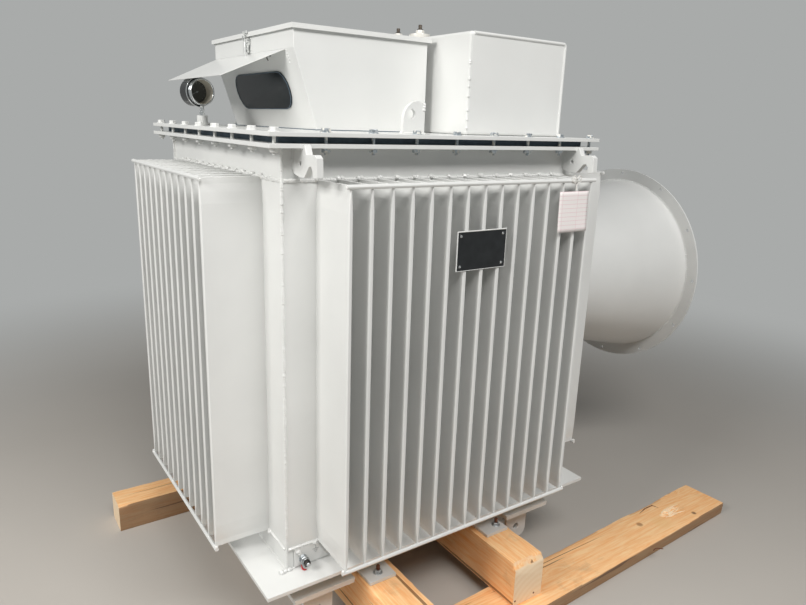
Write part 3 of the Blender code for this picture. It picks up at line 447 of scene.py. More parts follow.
def turned(cage, axes, profile, sides):
    """Turns a profile of radius and height round an axis."""
    rings = []
    turns = [math.tau * k / sides for k in range(sides)]
    for radius, height in profile:
        spots = [(radius * math.cos(turn), radius * math.sin(turn), height) for turn in turns if radius]
        rings.append([cage.verts.new(axes @ Vector(spot)) for spot in spots or [(0, 0, height)]])
    for below, above in zip(rings, rings[1:]):
        for k in range(sides):
            face = [below[k - 1], below[k]] if len(below) > 1 else [below[0]]
            face += [above[k], above[k - 1]] if len(above) > 1 else [above[0]]
            cage.faces.new(face)


def facing(place, out, turn=0.0):
    """Axes at a place, with Z along a direction."""
    lean = out.to_track_quat("Z", "Y").to_matrix().to_4x4()
    return Matrix.Translation(place) @ lean @ Matrix.Rotation(turn, 4, "Z")


def hexagon(cage, axes, radius, height):
    """A hexagon head or nut with a chamfered crown."""
    turned(cage, axes, [(radius * across, height * up) for across, up in HEXAGON_SHAPE], 6)


def washer(cage, axes, radius, thickness):
    """A round washer."""
    turned(cage, axes, [(radius * across, thickness * up) for across, up in WASHER_SHAPE], 24)


def threaded(cage, axes, radius, start, end, pitch=THREAD_PITCH):
    """A threaded end, drawn as close rings."""
    profile = [(0, start)]
    count = max(2, round((end - start) / pitch))
    for k in range(count):
        low = start + (end - start) * k / count
        profile += [(radius * THREAD_ROOT_SHARE, low), (radius, low + (end - start) / count / 2)]
    profile += [(radius * THREAD_END_SHARE, end), (0, end)]
    turned(cage, axes, profile, 12)


def bolt(cage, place, out, size=1.0, grip=0.0):
    """A bolt with its head and washer on a face and, where it has a grip, its nut and washer behind it."""
    axes = facing(place, out, luck.uniform(0, math.tau))
    thickness = WASHER_THICKNESS * size
    washer(cage, axes, WASHER_RADIUS * size, thickness)
    hexagon(cage, axes @ Matrix.Translation((0, 0, thickness)), HEX_RADIUS * size, HEX_HEIGHT * size)
    if grip:
        behind = facing(place - out * grip, -out, luck.uniform(0, math.tau))
        washer(cage, behind, WASHER_RADIUS * size, thickness)
        hexagon(cage, behind @ Matrix.Translation((0, 0, thickness)), HEX_RADIUS * size, HEX_HEIGHT * size)
        threaded(cage, behind, SHANK_RADIUS * size, -grip, thickness + (HEX_HEIGHT + SHANK_STICKS_OUT) * size)


painted_row, zinc_rows = bmesh.new(), bmesh.new()
first_bolt = cover_low + Vector((BOLT_SET_IN, BOLT_SET_IN, 0))
bolt_run = cover_high - Vector((BOLT_SET_IN, BOLT_SET_IN, 0)) - first_bolt
shares = [(k / (BOLTS_ALONG_X - 1), side) for k in range(BOLTS_ALONG_X) for side in (0, 1)]
shares += [(side, k / (BOLTS_ALONG_Y - 1)) for k in range(1, BOLTS_ALONG_Y - 1) for side in (0, 1)]
for share_x, share_y in shares:
    spot = Vector((first_bolt.x + bolt_run.x * share_x, first_bolt.y + bolt_run.y * share_y, cover_high.z))
    bolt(painted_row if share_x == 0 else zinc_rows, spot, UP, grip=cover_high.z - rim_low.z)
piece("cover_bolts_sprayed_over", painted_row, enamel)
piece("cover_bolts", zinc_rows, sprayed)

# Cover gasket and box seals: black nitrile rubber, matt, with a blue-grey tone that is painted cool shade.
# The seal under the terminal box shows as a thin dark line along its foot.
SEAL_RADIUS = 0.0016
SEAL_LIFT_SHARE = 0.4
RUBBER_TONE_CLOUD = 0.02
rubber = surface("nitrile_rubber", "#4a5864", "#5b6a76", (0.65, 0.85), RUBBER_TONE_CLOUD)[0]
dress("cover_gasket", rubber)


def foot_of(name, slack=0.001):
    """The lowest and the highest corner of a CAD node's underside."""
    low = corners(name)[0]
    ring = [vert.co for vert in frame["nodes"][name].data.vertices if vert.co.z < low.z + slack]
    return [Vector([pick(co[k] for co in ring) for k in range(3)]) for pick in (min, max)]


cage = bmesh.new()
for name in ("terminal_box", "second_box"):
    low, high = foot_of(name)
    for start, end in around(low, high, low.z + SEAL_RADIUS * SEAL_LIFT_SHARE):
        wire(cage, [start, end], SEAL_RADIUS)
piece("box_seals", cage, rubber)

# Lifting hooks and cover eyes: flame-cut plates held by heavy fillets on the wall, the rim and the cover.
HOOK_BEAD = 0.0042
HOOK_BEAD_START = 0.016
EYE_LUMP = 0.0055
EYE_LUMP_DROPS = (0.010, 0.017, 0.025)
EYE_LUMP_SET_IN = 0.003
cage = bmesh.new()
for side, wall_y, edge_y in (("front", tank_low.y, rim_low.y), ("rear", tank_high.y, rim_high.y)):
    for end in ("left", "right"):
        low, high = corners(side + "_" + end + "_lifting_hook")
        for x in (low.x, high.x):
            path = ((wall_y, low.z + HOOK_BEAD_START), (wall_y, rim_low.z), (edge_y, rim_low.z),
                    (edge_y, rim_high.z))
            for start, end in zip(path, path[1:]):
                bead(cage, Vector((x, *start)), Vector((x, *end)), HOOK_BEAD)
for name in ("front_cover_eye", "rear_cover_eye"):
    low, high = foot_of(name)
    for start, end in around(low, high, low.z):
        bead(cage, start, end, HOOK_BEAD)
low, high = corners("front_cover_eye")
for drop in EYE_LUMP_DROPS:
    lump(cage, Vector((high.x - EYE_LUMP_SET_IN, low.y + 0.002, high.z - drop)), EYE_LUMP)
piece("lifting_weld_beads", cage, enamel)

# Terminal box: folded sheet, its seams welded and ground flush, with a pane held from behind in a slot.
# The pane is float glass with a black rubber lip round it. Its near-black colour is painted shade,
# standing in for the unlit inside of the box behind it.
LIP_RADIUS = 0.0014
PANE_CLOUD = 0.09
FACE_SLACK = 0.0002
CLOSEST_POINTS = 0.0005
# Painted shade: the pane's near-black colour stands in for the unlit inside seen through the glass.
pane, tree, shader, place, drift = surface("glass_painted_inside_shade", "#151c20", "#1b2226", (0.16, 0.24),
                                           PANE_CLOUD)
shader.inputs["Specular IOR Level"].default_value = 0.22
shader.inputs["IOR"].default_value = 1.52
dress("window_glass", pane)
glass_mesh = frame["nodes"]["window_glass"].data
glass_middle = sum((vert.co for vert in glass_mesh.vertices), Vector()) / len(glass_mesh.vertices)
front_face = min(glass_mesh.polygons, key=lambda face: face.normal.x)
front = front_face.normal
front_level = front.dot(glass_mesh.vertices[front_face.vertices[0]].co)
outer = [vert.co.copy() for vert in glass_mesh.vertices if abs(front.dot(vert.co) - front_level) < FACE_SLACK]
down = Vector((0, 1, 0)).cross(front)
outer.sort(key=lambda co: math.atan2((co - glass_middle).dot(down), (co - glass_middle).y))
loop = [co for k, co in enumerate(outer) if (co - outer[k - 1]).length > CLOSEST_POINTS]
cage = bmesh.new()
wire(cage, loop, LIP_RADIUS, 6, closed=True)
piece("window_rubber_lip", cage, rubber)

# Visor fixings: a short row of tack welds at its near end, and an oiled steel stay of wire under it.
PANEL_RUN = 0.0728
PANEL_FALL = 0.2216
TACK = 0.0035
TACK_COUNT = 5
TACK_START = 0.004
TACK_SPACING = 0.0085
TACK_SHIFT = Vector((0.001, -0.006, 0))
STAY_RADIUS = 0.0016
STAY_DOWN = 0.014
STAY_SHIFT = Vector((-0.003, 0.105, 0))
STAY_BENDS = ((0, 0), (-0.010, 0), (-0.0125, -0.006), (-0.008, -0.014))
OIL_CLOUD = 0.01
dark_steel = surface("oiled_steel", "#2c2b2a", "#4a4744", (0.4, 0.6), OIL_CLOUD, 0.8)[0]
visor_low, visor_high = corners("window_visor")
cage = bmesh.new()
fold_near = Vector((visor_high.x, visor_low.y, visor_high.z))
down_panel = Vector((PANEL_RUN, 0, -PANEL_FALL)).normalized()
for k in range(TACK_COUNT):
    lump(cage, fold_near + down_panel * (TACK_START + k * TACK_SPACING) + TACK_SHIFT, TACK)
piece("visor_tacks", cage, enamel)
cage = bmesh.new()
stay = fold_near + down_panel * STAY_DOWN + STAY_SHIFT
wire(cage, [stay + Vector((along, 0, up)) for along, up in STAY_BENDS], STAY_RADIUS)
piece("visor_stay", cage, dark_steel)

# Second box: closed sheet housing, welded up its corners with a lumpy bead that was left unground.
SECOND_BEAD = 0.0026
SECOND_BEAD_SET_IN = 0.0024
SECOND_BEAD_FOOT = 0.004
SECOND_BEAD_HEAD = 0.010
SEAM_LUMP_COUNT = 9
SEAM_LUMP_RADII = (0.0034, 0.0048)
SEAM_LUMP_SET_IN = 0.0015
SEAM_LUMP_START = 0.02
SEAM_LUMP_SPACING = 0.032
FOLD_RADIUS = 0.0055
FOLD_TURN = 0.014
FOLD_START = 0.012
FOLD_SINK = 0.0012
FOLD_STEPS = 8
low, high = corners("second_box")
cage = bmesh.new()
for x, inward_x in ((low.x, 1), (high.x, -1)):
    for y, inward_y in ((low.y, 1), (high.y, -1)):
        foot = Vector((x, y, low.z + SECOND_BEAD_FOOT)) + Vector((inward_x, inward_y, 0)) * SECOND_BEAD_SET_IN
        bead(cage, foot, Vector((foot.x, foot.y, high.z - SECOND_BEAD_HEAD)), SECOND_BEAD)
for k in range(SEAM_LUMP_COUNT):
    height = low.z + SEAM_LUMP_START + luck.uniform(0.6, 1.0) * k * SEAM_LUMP_SPACING
    spot = Vector((low.x + SEAM_LUMP_SET_IN, low.y + SEAM_LUMP_SET_IN, height))
    lump(cage, spot, luck.uniform(*SEAM_LUMP_RADII))
piece("second_box_beads", cage, enamel)
cage = bmesh.new()
turn_reach = FOLD_TURN - FOLD_RADIUS
turns = [math.pi / 2 * k / FOLD_STEPS for k in range(FOLD_STEPS + 1)]
fold = [(low.x + FOLD_START, high.z - FOLD_RADIUS)]
fold += [(high.x - FOLD_TURN + turn_reach * math.sin(turn), high.z - FOLD_TURN + turn_reach * math.cos(turn))
         for turn in turns]
fold += [(high.x - FOLD_RADIUS, low.z + SECOND_BEAD_FOOT)]
wire(cage, [Vector((x, low.y + FOLD_SINK, z)) for x, z in fold], FOLD_RADIUS, 12)
piece("second_box_folded_rim", cage, enamel)

# Toggle latch: a long base riveted to the box, a pressed lever folded down on it, and a wire bail that
# pulls the claw on the lid's edge. All are bright zinc-plated sheet and wire.
RIVET_COUNT = 6
RIVET_RADIUS = 0.0024
RIVET_SPACING = 0.0075
RIVET_SET_IN = Vector((0.001, 0.0035, 0.003))
BAIL_RADIUS = 0.0016
BAIL_SIDES = (-0.004, 0.0085)
BAIL_OUT = 0.0028
BAIL_KNEE_OUT = 0.002
LEVER_WIDTH = 0.011
LEVER_TAIL = 0.016
LEVER_START = 0.004
LEVER_ASIDE = 0.0035
LEVER_SHOULDER = 0.0015
LEVER_WALL = 0.0030
LEVER_THICKNESS = 0.0042
# The lever at places along it: share of its length, lift off its base and share of its width.
LEVER_SHAPE = ((0.0, 0.0, 0.8), (0.06, 0.0008, 1.0), (0.45, 0.0012, 1.0), (0.8, 0.0006, 0.9),
               (0.95, 0.0018, 0.8), (1.0, 0.0038, 0.7))
ROLL_RADIUS = 0.0038
ROLL_OVERHANG = 0.006
ROLL_SHIFT = (0.002, 0.001)
EYE_DROP = 0.004
PLATE_CLOUD = 0.005
LEFT = Vector((-1, 0, 0))
latch_low, latch_high = corners("toggle_latch")
claw_low, claw_high = corners("latch_keeper")
latch_middle = (latch_low + latch_high) / 2
pale_zinc = surface("pale_zinc_plate", "#b9bcbc", "#dedfdc", (0.42, 0.6), PLATE_CLOUD, 0.55)[0]
for name in ("toggle_latch", "latch_keeper"):
    dress(name, pale_zinc, 0.0006)
cage = bmesh.new()
rivet = [(0, 0.0022), (RIVET_RADIUS * 0.7, 0.0018), (RIVET_RADIUS, 0), (RIVET_RADIUS, -0.004), (0, -0.004)]
for k in range(RIVET_COUNT):
    turned(cage, facing(latch_low + RIVET_SET_IN + UP * RIVET_SPACING * k, LEFT), rivet, 10)
bail_ends = [(claw_low.x - BAIL_OUT, latch_middle.y + side, claw_low.z + 0.002) for side in BAIL_SIDES]
for end in bail_ends:
    wire(cage, [(latch_low.x + RIVET_SET_IN.x, end[1], latch_middle.z),
                (claw_low.x - BAIL_KNEE_OUT, end[1], latch_high.z), end], BAIL_RADIUS)
wire(cage, bail_ends, BAIL_RADIUS)
piece("latch_rivets_and_bail", cage, pale_zinc)
cage = bmesh.new()
lever_middle = latch_middle.y + LEVER_ASIDE
half = LEVER_WIDTH / 2
profile = [(-half, 0.0), (-half, LEVER_WALL), (LEVER_SHOULDER - half, LEVER_THICKNESS),
           (half - LEVER_SHOULDER, LEVER_THICKNESS), (half, LEVER_WALL), (half, 0.0)]
lever_length = latch_high.z - latch_low.z + LEVER_TAIL - LEVER_START
rings = []
for share, lift, narrow in LEVER_SHAPE:
    height = latch_high.z - LEVER_START - share * lever_length
    rings.append([cage.verts.new((latch_low.x - lift - out, lever_middle + across * narrow, height))
                  for across, out in profile])
skin(cage, rings)
piece("latch_lever", cage, pale_zinc)
cage = bmesh.new()
wire(cage, [(claw_low.x + ROLL_SHIFT[0], y, claw_high.z + ROLL_SHIFT[1])
            for y in (claw_low.y - ROLL_OVERHANG, claw_high.y + ROLL_OVERHANG)], ROLL_RADIUS, 12)
turned(cage, facing(Vector((claw_low.x, (claw_low.y + claw_high.y) / 2, claw_high.z - EYE_DROP)), LEFT),
       [(0.0022, -0.001), (0.0022, 0.0008), (0.0042, 0.0008), (0.0046, -0.001), (0.0022, -0.001)], 16)
piece("claw_roll_and_eye", cage, pale_zinc, body="terminal_box_lid")

# Stud terminals: white glazed heads, each with a pale plated nut, a dark lock washer and a bronze stud
# whose thread has dulled to brown.
THREAD_RADIUS = 0.0075
STUD_PITCH = 0.003
STUD_NUT_RADIUS = 0.0165
STUD_NUT_HEIGHT = 0.015
LOCK_RADIUS = 0.0115
LOCK_THICKNESS = 0.003
GLAZE_CLOUD = 0.05
porcelain, tree, shader, place, drift = surface("white_glazed_porcelain", "#e4e2da", "#eceae4", (0.08, 0.16),
                                                GLAZE_CLOUD)
shader.inputs["Coat Weight"].default_value = 0.6
for name in ("terminal_insulator_1", "terminal_insulator_2", "outlet_bushing"):
    dress(name, porcelain, 0.0012)
bronze = surface("dulled_bronze", "#6d655d", "#938a80", (0.4, 0.55), 0.004, 0.9)[0]
dress("outlet_stud", bronze)


def centre(low, high, height):
    """The middle of a box in plan, at a height."""
    return Vector((*((low + high) / 2).xy, height))


threads, nuts, locks = bmesh.new(), bmesh.new(), bmesh.new()
for name in ("terminal_stud_1", "terminal_stud_2"):
    low, high = corners(name)
    foot = centre(low, high, low.z)
    hexagon(nuts, facing(foot, UP, 0.4), STUD_NUT_RADIUS, STUD_NUT_HEIGHT)
    washer(locks, facing(foot + UP * STUD_NUT_HEIGHT, UP), LOCK_RADIUS, LOCK_THICKNESS)
    threaded(threads, facing(foot, UP), THREAD_RADIUS, STUD_NUT_HEIGHT, high.z - low.z, STUD_PITCH)
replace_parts(piece("terminal_threads", threads, bronze), "terminal_stud_1", "terminal_stud_2")
piece("terminal_nuts", nuts, porcelain)
piece("terminal_lock_washers", locks, dark_steel)

# Dial thermometer: a rolled chrome bezel, a deep ring of beige enamel round a slate face, and a chrome case
# with chromed bands at its back. The case is coloured black as a painted dark reflection of its chrome,
# and the bands are drawn as short arcs over its top only. It stands on a chromed stem in its painted pocket.
DIAL_TURN = math.radians(12)
BEZEL_RADIUS = 0.0425
BEZEL_ROLL = 0.0026
BEZEL_INSIDE = BEZEL_RADIUS - 2 * BEZEL_ROLL
BEZEL_DEPTH = 0.020
BEZEL_SKIRT = BEZEL_RADIUS - 0.0006
CASE_RADIUS = 0.0455
CASE_DEPTH = 0.070
BAND_RADIUS = 0.0022
BAND_DEPTHS = (0.034, 0.045, 0.056)
BAND_ARC = [math.radians(70 + 8 * k) for k in range(10)]
STEM_BORE = 0.0045
# The stem's collars: from, to and radius, over the pocket's mouth.
STEM_FOOT = 0.030
STEM_COLLARS = ((0, 0.026, 0.0060), (0.004, 0.010, 0.0088), (0.015, 0.020, 0.0078))
RECESS = 0.038
RECESS_START = 0.0036
FACE_THICKNESS = 0.002
MARK_COUNT = 13
MARK_START = math.radians(225)
MARK_SWEEP = math.radians(270)
MARK_SET_IN = 0.006
MARK_LENGTHS = (0.006, 0.0035, 0.0035)
MARK_RADIUS = 0.0006
NEEDLE_TURN = math.radians(205)
NEEDLE_ENDS = (0.024, -0.006)
NEEDLE_LIFT = 0.001
NEEDLE_RADIUS = 0.0008
HUB_RADIUS = 0.0028
chrome = surface("chromed_brass", "#d2d5d6", "#e2e4e5", (0.10, 0.20), 0.02, 1.0)[0]
# Painted reflection: the chrome case is coloured near-black, standing in for the dark surroundings it
# mirrors.
black, tree, shader, place, drift = surface("chrome_case_painted_dark_reflection", "#111314", "#1b1e1f", (0.22, 0.34), 0.03)
shader.inputs["Coat Weight"].default_value = 0.5
beige = surface("beige_enamel", "#cfc9bb", "#d9d3c6", (0.35, 0.45), 0.02)[0]
slate = surface("slate_dial", "#3c3d3a", "#4b4c48", (0.3, 0.4), 0.006)[0]
# Grey for the printed dial marks, and on the earth sign as painted shade in its scored grooves.
grey_print_and_groove_shade = surface("grey_print_and_groove_shade", "#8b8f90", "#9a9e9f", (0.4, 0.5), 0.01)[0]
dial_low, dial_high = corners("dial_thermometer")
pocket_low, pocket_high = corners("thermometer_pocket")
dial_out = Vector((math.sin(DIAL_TURN), -math.cos(DIAL_TURN), 0))
dial_middle = centre(pocket_low, pocket_high, (dial_low.z + dial_high.z) / 2)
axes = facing(dial_middle + dial_out * BEZEL_DEPTH / 2, dial_out)
cage = bmesh.new()
roll_middle = BEZEL_RADIUS - BEZEL_ROLL
roll = [(roll_middle + BEZEL_ROLL * math.cos(turn), BEZEL_ROLL * (math.sin(turn) - 1))
        for turn in (math.tau * k / 12 for k in range(13))]
skirt = [(BEZEL_INSIDE, -BEZEL_ROLL), (BEZEL_SKIRT, -BEZEL_ROLL * 1.6), (BEZEL_SKIRT, -BEZEL_DEPTH),
         (BEZEL_INSIDE, -BEZEL_DEPTH), (BEZEL_INSIDE, -BEZEL_ROLL)]
lip = [(CASE_RADIUS + 0.0016 * math.cos(turn), -BEZEL_DEPTH - 0.003 + 0.0024 * math.sin(turn))
       for turn in (math.tau * k / 8 for k in range(9))]
for profile in (roll, skirt, lip):
    turned(cage, axes, profile, 72)
for depth in BAND_DEPTHS:
    wire(cage, [axes @ Vector((math.cos(turn) * CASE_RADIUS, math.sin(turn) * CASE_RADIUS, -depth))
                for turn in BAND_ARC], BAND_RADIUS)
for low, high, radius in STEM_COLLARS:
    turned(cage, facing(centre(pocket_low, pocket_high, pocket_low.z + STEM_FOOT + low), UP),
           [(STEM_BORE, 0), (radius, 0.0006), (radius, high - low - 0.0006), (STEM_BORE, high - low),
            (STEM_BORE, 0)], 24)
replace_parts(piece("thermometer_chrome", cage, chrome), "dial_thermometer")
case = ((BEZEL_INSIDE, -BEZEL_DEPTH), (CASE_RADIUS - 0.003, -BEZEL_DEPTH),
        (CASE_RADIUS - 0.001, -BEZEL_DEPTH - 0.002), (CASE_RADIUS - 0.001, -CASE_DEPTH + 0.004),
        (CASE_RADIUS - 0.006, -CASE_DEPTH), (0, -CASE_DEPTH))
recess = ((BEZEL_INSIDE + 0.0004, -RECESS_START), (BEZEL_INSIDE - 0.0008, -RECESS_START),
          (BEZEL_INSIDE - 0.003, -RECESS), (BEZEL_INSIDE, -RECESS), (BEZEL_INSIDE + 0.0004, -RECESS_START))
dial_face = ((0, -RECESS), (BEZEL_INSIDE - 0.002, -RECESS), (BEZEL_INSIDE - 0.002, -RECESS - FACE_THICKNESS),
             (0, -RECESS - FACE_THICKNESS))
for name, profile, material in (("case", case, black), ("recess", recess, beige), ("face", dial_face, slate)):
    cage = bmesh.new()
    turned(cage, axes, profile, 72)
    piece("thermometer_" + name, cage, material)
cage = bmesh.new()
for k in range(MARK_COUNT):
    turn = MARK_START - MARK_SWEEP * k / (MARK_COUNT - 1)
    spoke = Vector((math.cos(turn), math.sin(turn), 0))
    tip = spoke * (BEZEL_INSIDE - MARK_SET_IN) - UP * RECESS
    wire(cage, [axes @ tip, axes @ (tip - spoke * MARK_LENGTHS[k % 3])], MARK_RADIUS, 4)
needle = Vector((math.cos(NEEDLE_TURN), math.sin(NEEDLE_TURN), 0))
wire(cage, [axes @ (needle * end + UP * (NEEDLE_LIFT - RECESS)) for end in NEEDLE_ENDS], NEEDLE_RADIUS, 4)
hub = [(0, 0.0024 - RECESS), (HUB_RADIUS, 0.0018 - RECESS), (HUB_RADIUS, -RECESS), (0, -RECESS)]
turned(cage, axes, hub, 16)
piece("thermometer_marks", cage, grey_print_and_groove_shade)

# Outlet duct: a rolled cone with a flat ring flange. The flange is welded on by stitches that show as dots,
# and the cone's foot by a full fillet.
DOT_SPACING = 0.0085
DOT_RADII = (0.0026, 0.0036)
DOT_SWAY = 0.15
DOT_SET_IN = 0.001
DOT_OUT = 0.0008
CONE_FOOT_RADIUS = 0.187
CONE_SHEET = 0.005
CONE_SIDES = 240
FILLET_RADIUS = 0.006
FILLET_OUT = 0.002
FILLET_SWELL = (0.8, 1.15)
FILLET_STEPS = 180
RIGHT = Vector((1, 0, 0))
cone_low, cone_high = corners("outlet_cone")
flange_low, flange_high = corners("outlet_flange")
duct_middle = (flange_low + flange_high) / 2
mouth_radius = (cone_high.y - cone_low.y) / 2
cone_length = cone_high.x - cone_low.x
cage = bmesh.new()
turned(cage, facing(Vector((cone_low.x, *duct_middle.yz)), RIGHT),
       [(mouth_radius, cone_length), (CONE_FOOT_RADIUS, 0), (CONE_FOOT_RADIUS - CONE_SHEET, 0),
        (mouth_radius - CONE_SHEET, cone_length), (mouth_radius, cone_length)], CONE_SIDES)
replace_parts(piece("outlet_cone_rolled", cage, enamel), "outlet_cone")


def round_duct(x, radius, turn):
    """A place on a circle round the duct's axis."""
    return Vector((x, duct_middle.y + radius * math.cos(turn), duct_middle.z + radius * math.sin(turn)))


cage = bmesh.new()
count = round(math.tau * mouth_radius / DOT_SPACING)
for k in range(count):
    turn = math.tau * (k + luck.uniform(-DOT_SWAY, DOT_SWAY)) / count
    lump(cage, round_duct(flange_low.x - DOT_OUT, mouth_radius - DOT_SET_IN, turn), luck.uniform(*DOT_RADII))
turns = [math.tau * k / FILLET_STEPS for k in range(FILLET_STEPS)]
tube(cage, [round_duct(tank_high.x + FILLET_OUT, CONE_FOOT_RADIUS, turn) for turn in turns],
     [FILLET_RADIUS * luck.uniform(*FILLET_SWELL) for turn in turns], 8, closed=True)
piece("outlet_weld_beads", cage, enamel)

# Nameplate: a plate in satin black whose edges show the paint of the tank, on four slotted screws.
PLATE_EDGE = 0.0007
PLATE_FOLD = 0.0018
SCREW_RADIUS = 0.0042
SCREW_SET_IN = 0.0125
FORWARD = Vector((0, -1, 0))
satin_black = surface("black_anodised_plate", "#1a1c1e", "#242729", (0.28, 0.4), 0.03, 0.2)[0]
bright_edge = surface("bright_aluminium", "#b8babb", "#d0d2d3", (0.2, 0.3), 0.01, 1.0)[0]
dress("nameplate", satin_black)
low, high = corners("nameplate")
cage = bmesh.new()
rectangle = [(low.x, low.y, low.z), (high.x, low.y, low.z), (high.x, low.y, high.z), (low.x, low.y, high.z)]
edges = zip(rectangle, rectangle[1:] + rectangle[:1], (PLATE_EDGE, PLATE_EDGE, PLATE_FOLD, PLATE_FOLD))
for start, end, radius in edges:
    wire(cage, [start, end], radius, 8)
piece("nameplate_painted_edge", cage, enamel)
screw = [(0, 0.0008), (SCREW_RADIUS * 0.3, 0.0016), (SCREW_RADIUS * 0.8, 0.0012), (SCREW_RADIUS, 0), (0, 0)]
cage = bmesh.new()
for x in (low.x + SCREW_SET_IN, high.x - SCREW_SET_IN):
    for z in (low.z + SCREW_SET_IN, high.z - SCREW_SET_IN):
        turned(cage, facing(Vector((x, low.y, z)), FORWARD), screw, 14)
piece("nameplate_screws", cage, bright_edge)

# Inspection tag: a bare white card with pale pink ruling, tied to the top bar with a twist of white string.
TAG_WIDTH = 0.126
TAG_HEIGHT = 0.122
TAG_THICKNESS = 0.0006
TAG_LEFT = 0.806
TAG_LOW = 0.976
TAG_OUT = 0.0012
TAG_CURL = 0.0035
TAG_BOW = 0.002
TAG_STEPS = 12
RULE_SPACING = 0.0125
STRING_RADIUS = 0.0014
STRING_PLACE = 0.872
STRING_TURNS = (-0.005, 0, 0.0055)
STRING_SWAY = 0.002
STRING_BOW = ((0, 0.006), (0.010, 0.016), (0.019, 0.012), (0.018, -0.001), (0.008, -0.005), (0.001, -0.012),
              (0.001, -0.028))
card, tree, shader, place, drift = surface("white_card", "#e9e6e4", "#f0eeec", (0.6, 0.75), 0.03)
spread = node(tree, "SeparateXYZ", Vector=place)
flat = node(tree, "CombineXYZ", X=spread.outputs["X"], Y=spread.outputs["Z"])
ruling = node(tree, "TexBrick", {"offset": 0.0}, Vector=flat.outputs[0], Color1=colour("#ebe6e4"),
              Color2=colour("#efe8e7"), Mortar=colour("#e3c6ca"), Scale=1.0, Mortar_Size=0.0006,
              Brick_Width=TAG_WIDTH / 2, Row_Height=RULE_SPACING)
tree.links.new(ruling.outputs["Color"], shader.inputs["Base Color"])
fins_low, fins_high = corners("front_fins")
cage = bmesh.new()
rows = []
for u in [k / TAG_STEPS for k in range(TAG_STEPS + 1)]:
    row = []
    for v in [k / TAG_STEPS for k in range(TAG_STEPS + 1)]:
        lift = TAG_CURL * (1 - v) ** 2 + TAG_BOW * math.sin(u * math.pi) * v
        spot = at(TAG_LEFT + TAG_WIDTH * u, 0, TAG_LOW + TAG_HEIGHT * v)
        row.append(cage.verts.new((spot.x, fins_low.y - TAG_OUT - lift, spot.z)))
    rows.append(row)
for row, following in zip(rows, rows[1:]):
    for j in range(TAG_STEPS):
        cage.faces.new((row[j], following[j], following[j + 1], row[j + 1]))
tag = piece("inspection_tag", cage, card)
thick = tag.modifiers.new("card", "SOLIDIFY")
thick.thickness = TAG_THICKNESS
string = surface("white_string", "#d6d4cf", "#e6e4e0", (0.8, 0.9), 0.002)[0]
bar = Vector((at(STRING_PLACE, 0, 0).x, fins_low.y + BAR_RADIUS, fins_high.z - BAR_RADIUS))
cage = bmesh.new()
round_bar = BAR_RADIUS + STRING_RADIUS
turns = [math.tau * k / 14 for k in range(14)]
for shift in STRING_TURNS:
    wire(cage, [bar + Vector((shift + STRING_SWAY * math.sin(turn), round_bar * math.cos(turn),
                              round_bar * math.sin(turn))) for turn in turns], STRING_RADIUS, 6, closed=True)
for side in (-1, 1):
    wire(cage, [bar + Vector((side * along, -round_bar - STRING_RADIUS, up)) for along, up in STRING_BOW],
         STRING_RADIUS, 6)
piece("tag_string", cage, string)

# Earth terminal: a welded bracket with a zinc-plated stud, washers and nut, and a dark lock washer and outer
# nut. The earth sign beside it is a scored mark drawn as grey lines, their grey being painted shade in the
# grooves, and a stroke of red paint marks the corner below.
EARTH_STUD = Vector((0.0485, 0, 0.0271))
STUD_RADIUS = 0.0058
STUD_LENGTH = 0.039
# Each washer's distance from the bracket, radius and thickness, then the same for each nut.
EARTH_WASHERS = ((0.0, 0.0135, 0.0025), (0.0150, 0.0135, 0.0024), (0.0210, 0.0125, 0.0024))
INNER_NUT = (0.0025, 0.0105, 0.008)
OUTER_NUT = (0.0250, 0.0106, 0.009)
LOCK_PLACE = 0.0180
BRACKET_BEAD = 0.0032
BRACKET_LUMPS = ((Vector((0.012, 0, -0.014)), 0.0062), (Vector((0.016, -0.001, -0.021)), 0.005))
SIGN_SHIFT = Vector((0.069, 0, 0.040))
SIGN_STEM = 0.012
SIGN_BARS = (0.010, 0.0065, 0.003)
SIGN_SPACING = 0.005
SIGN_LINE = 0.0009
RED_MARK = Vector((0.0385, 0, 0.0150))
RED_MARK_OUT = 0.0100
# The stroke of the brush: along, out and up from its start, and its radius.
RED_STROKE = ((0, 0, 0, 0.0012), (0.0005, -0.001, -0.006, 0.0020), (0.0015, -0.004, -0.012, 0.0026),
              (0.005, -0.009, -0.0135, 0.0028), (0.011, -0.011, -0.0138, 0.0016))
low, high = corners("earth_bracket")
stud_foot = Vector((at(*EARTH_STUD).x, low.y, at(*EARTH_STUD).z))
cage = bmesh.new()
for away, radius, thickness in EARTH_WASHERS:
    washer(cage, facing(stud_foot + FORWARD * away, FORWARD), radius, thickness)
hexagon(cage, facing(stud_foot + FORWARD * INNER_NUT[0], FORWARD, 0.3), *INNER_NUT[1:])
threaded(cage, facing(stud_foot, FORWARD), STUD_RADIUS, 0, STUD_LENGTH)
piece("earth_stud", cage, zinc)
cage = bmesh.new()
turned(cage, facing(stud_foot + FORWARD * LOCK_PLACE, FORWARD),
       [(0.0060, 0), (0.0105, 0.0004), (0.0105, 0.0024), (0.0060, 0.0028), (0.0060, 0)], 20)
hexagon(cage, facing(stud_foot + FORWARD * OUTER_NUT[0], FORWARD, 0.7), *OUTER_NUT[1:])
piece("earth_nut_and_lock_washer", cage, dark_steel)
cage = bmesh.new()
bead_end = Vector((high.x - 0.034, low.y + 0.003, high.z - 0.008))
bead(cage, Vector((low.x + 0.002, low.y + 0.003, high.z)), bead_end, BRACKET_BEAD)
for shift, radius in BRACKET_LUMPS:
    lump(cage, Vector((low.x, low.y, high.z)) + shift, radius)
piece("earth_bracket_beads", cage, enamel)
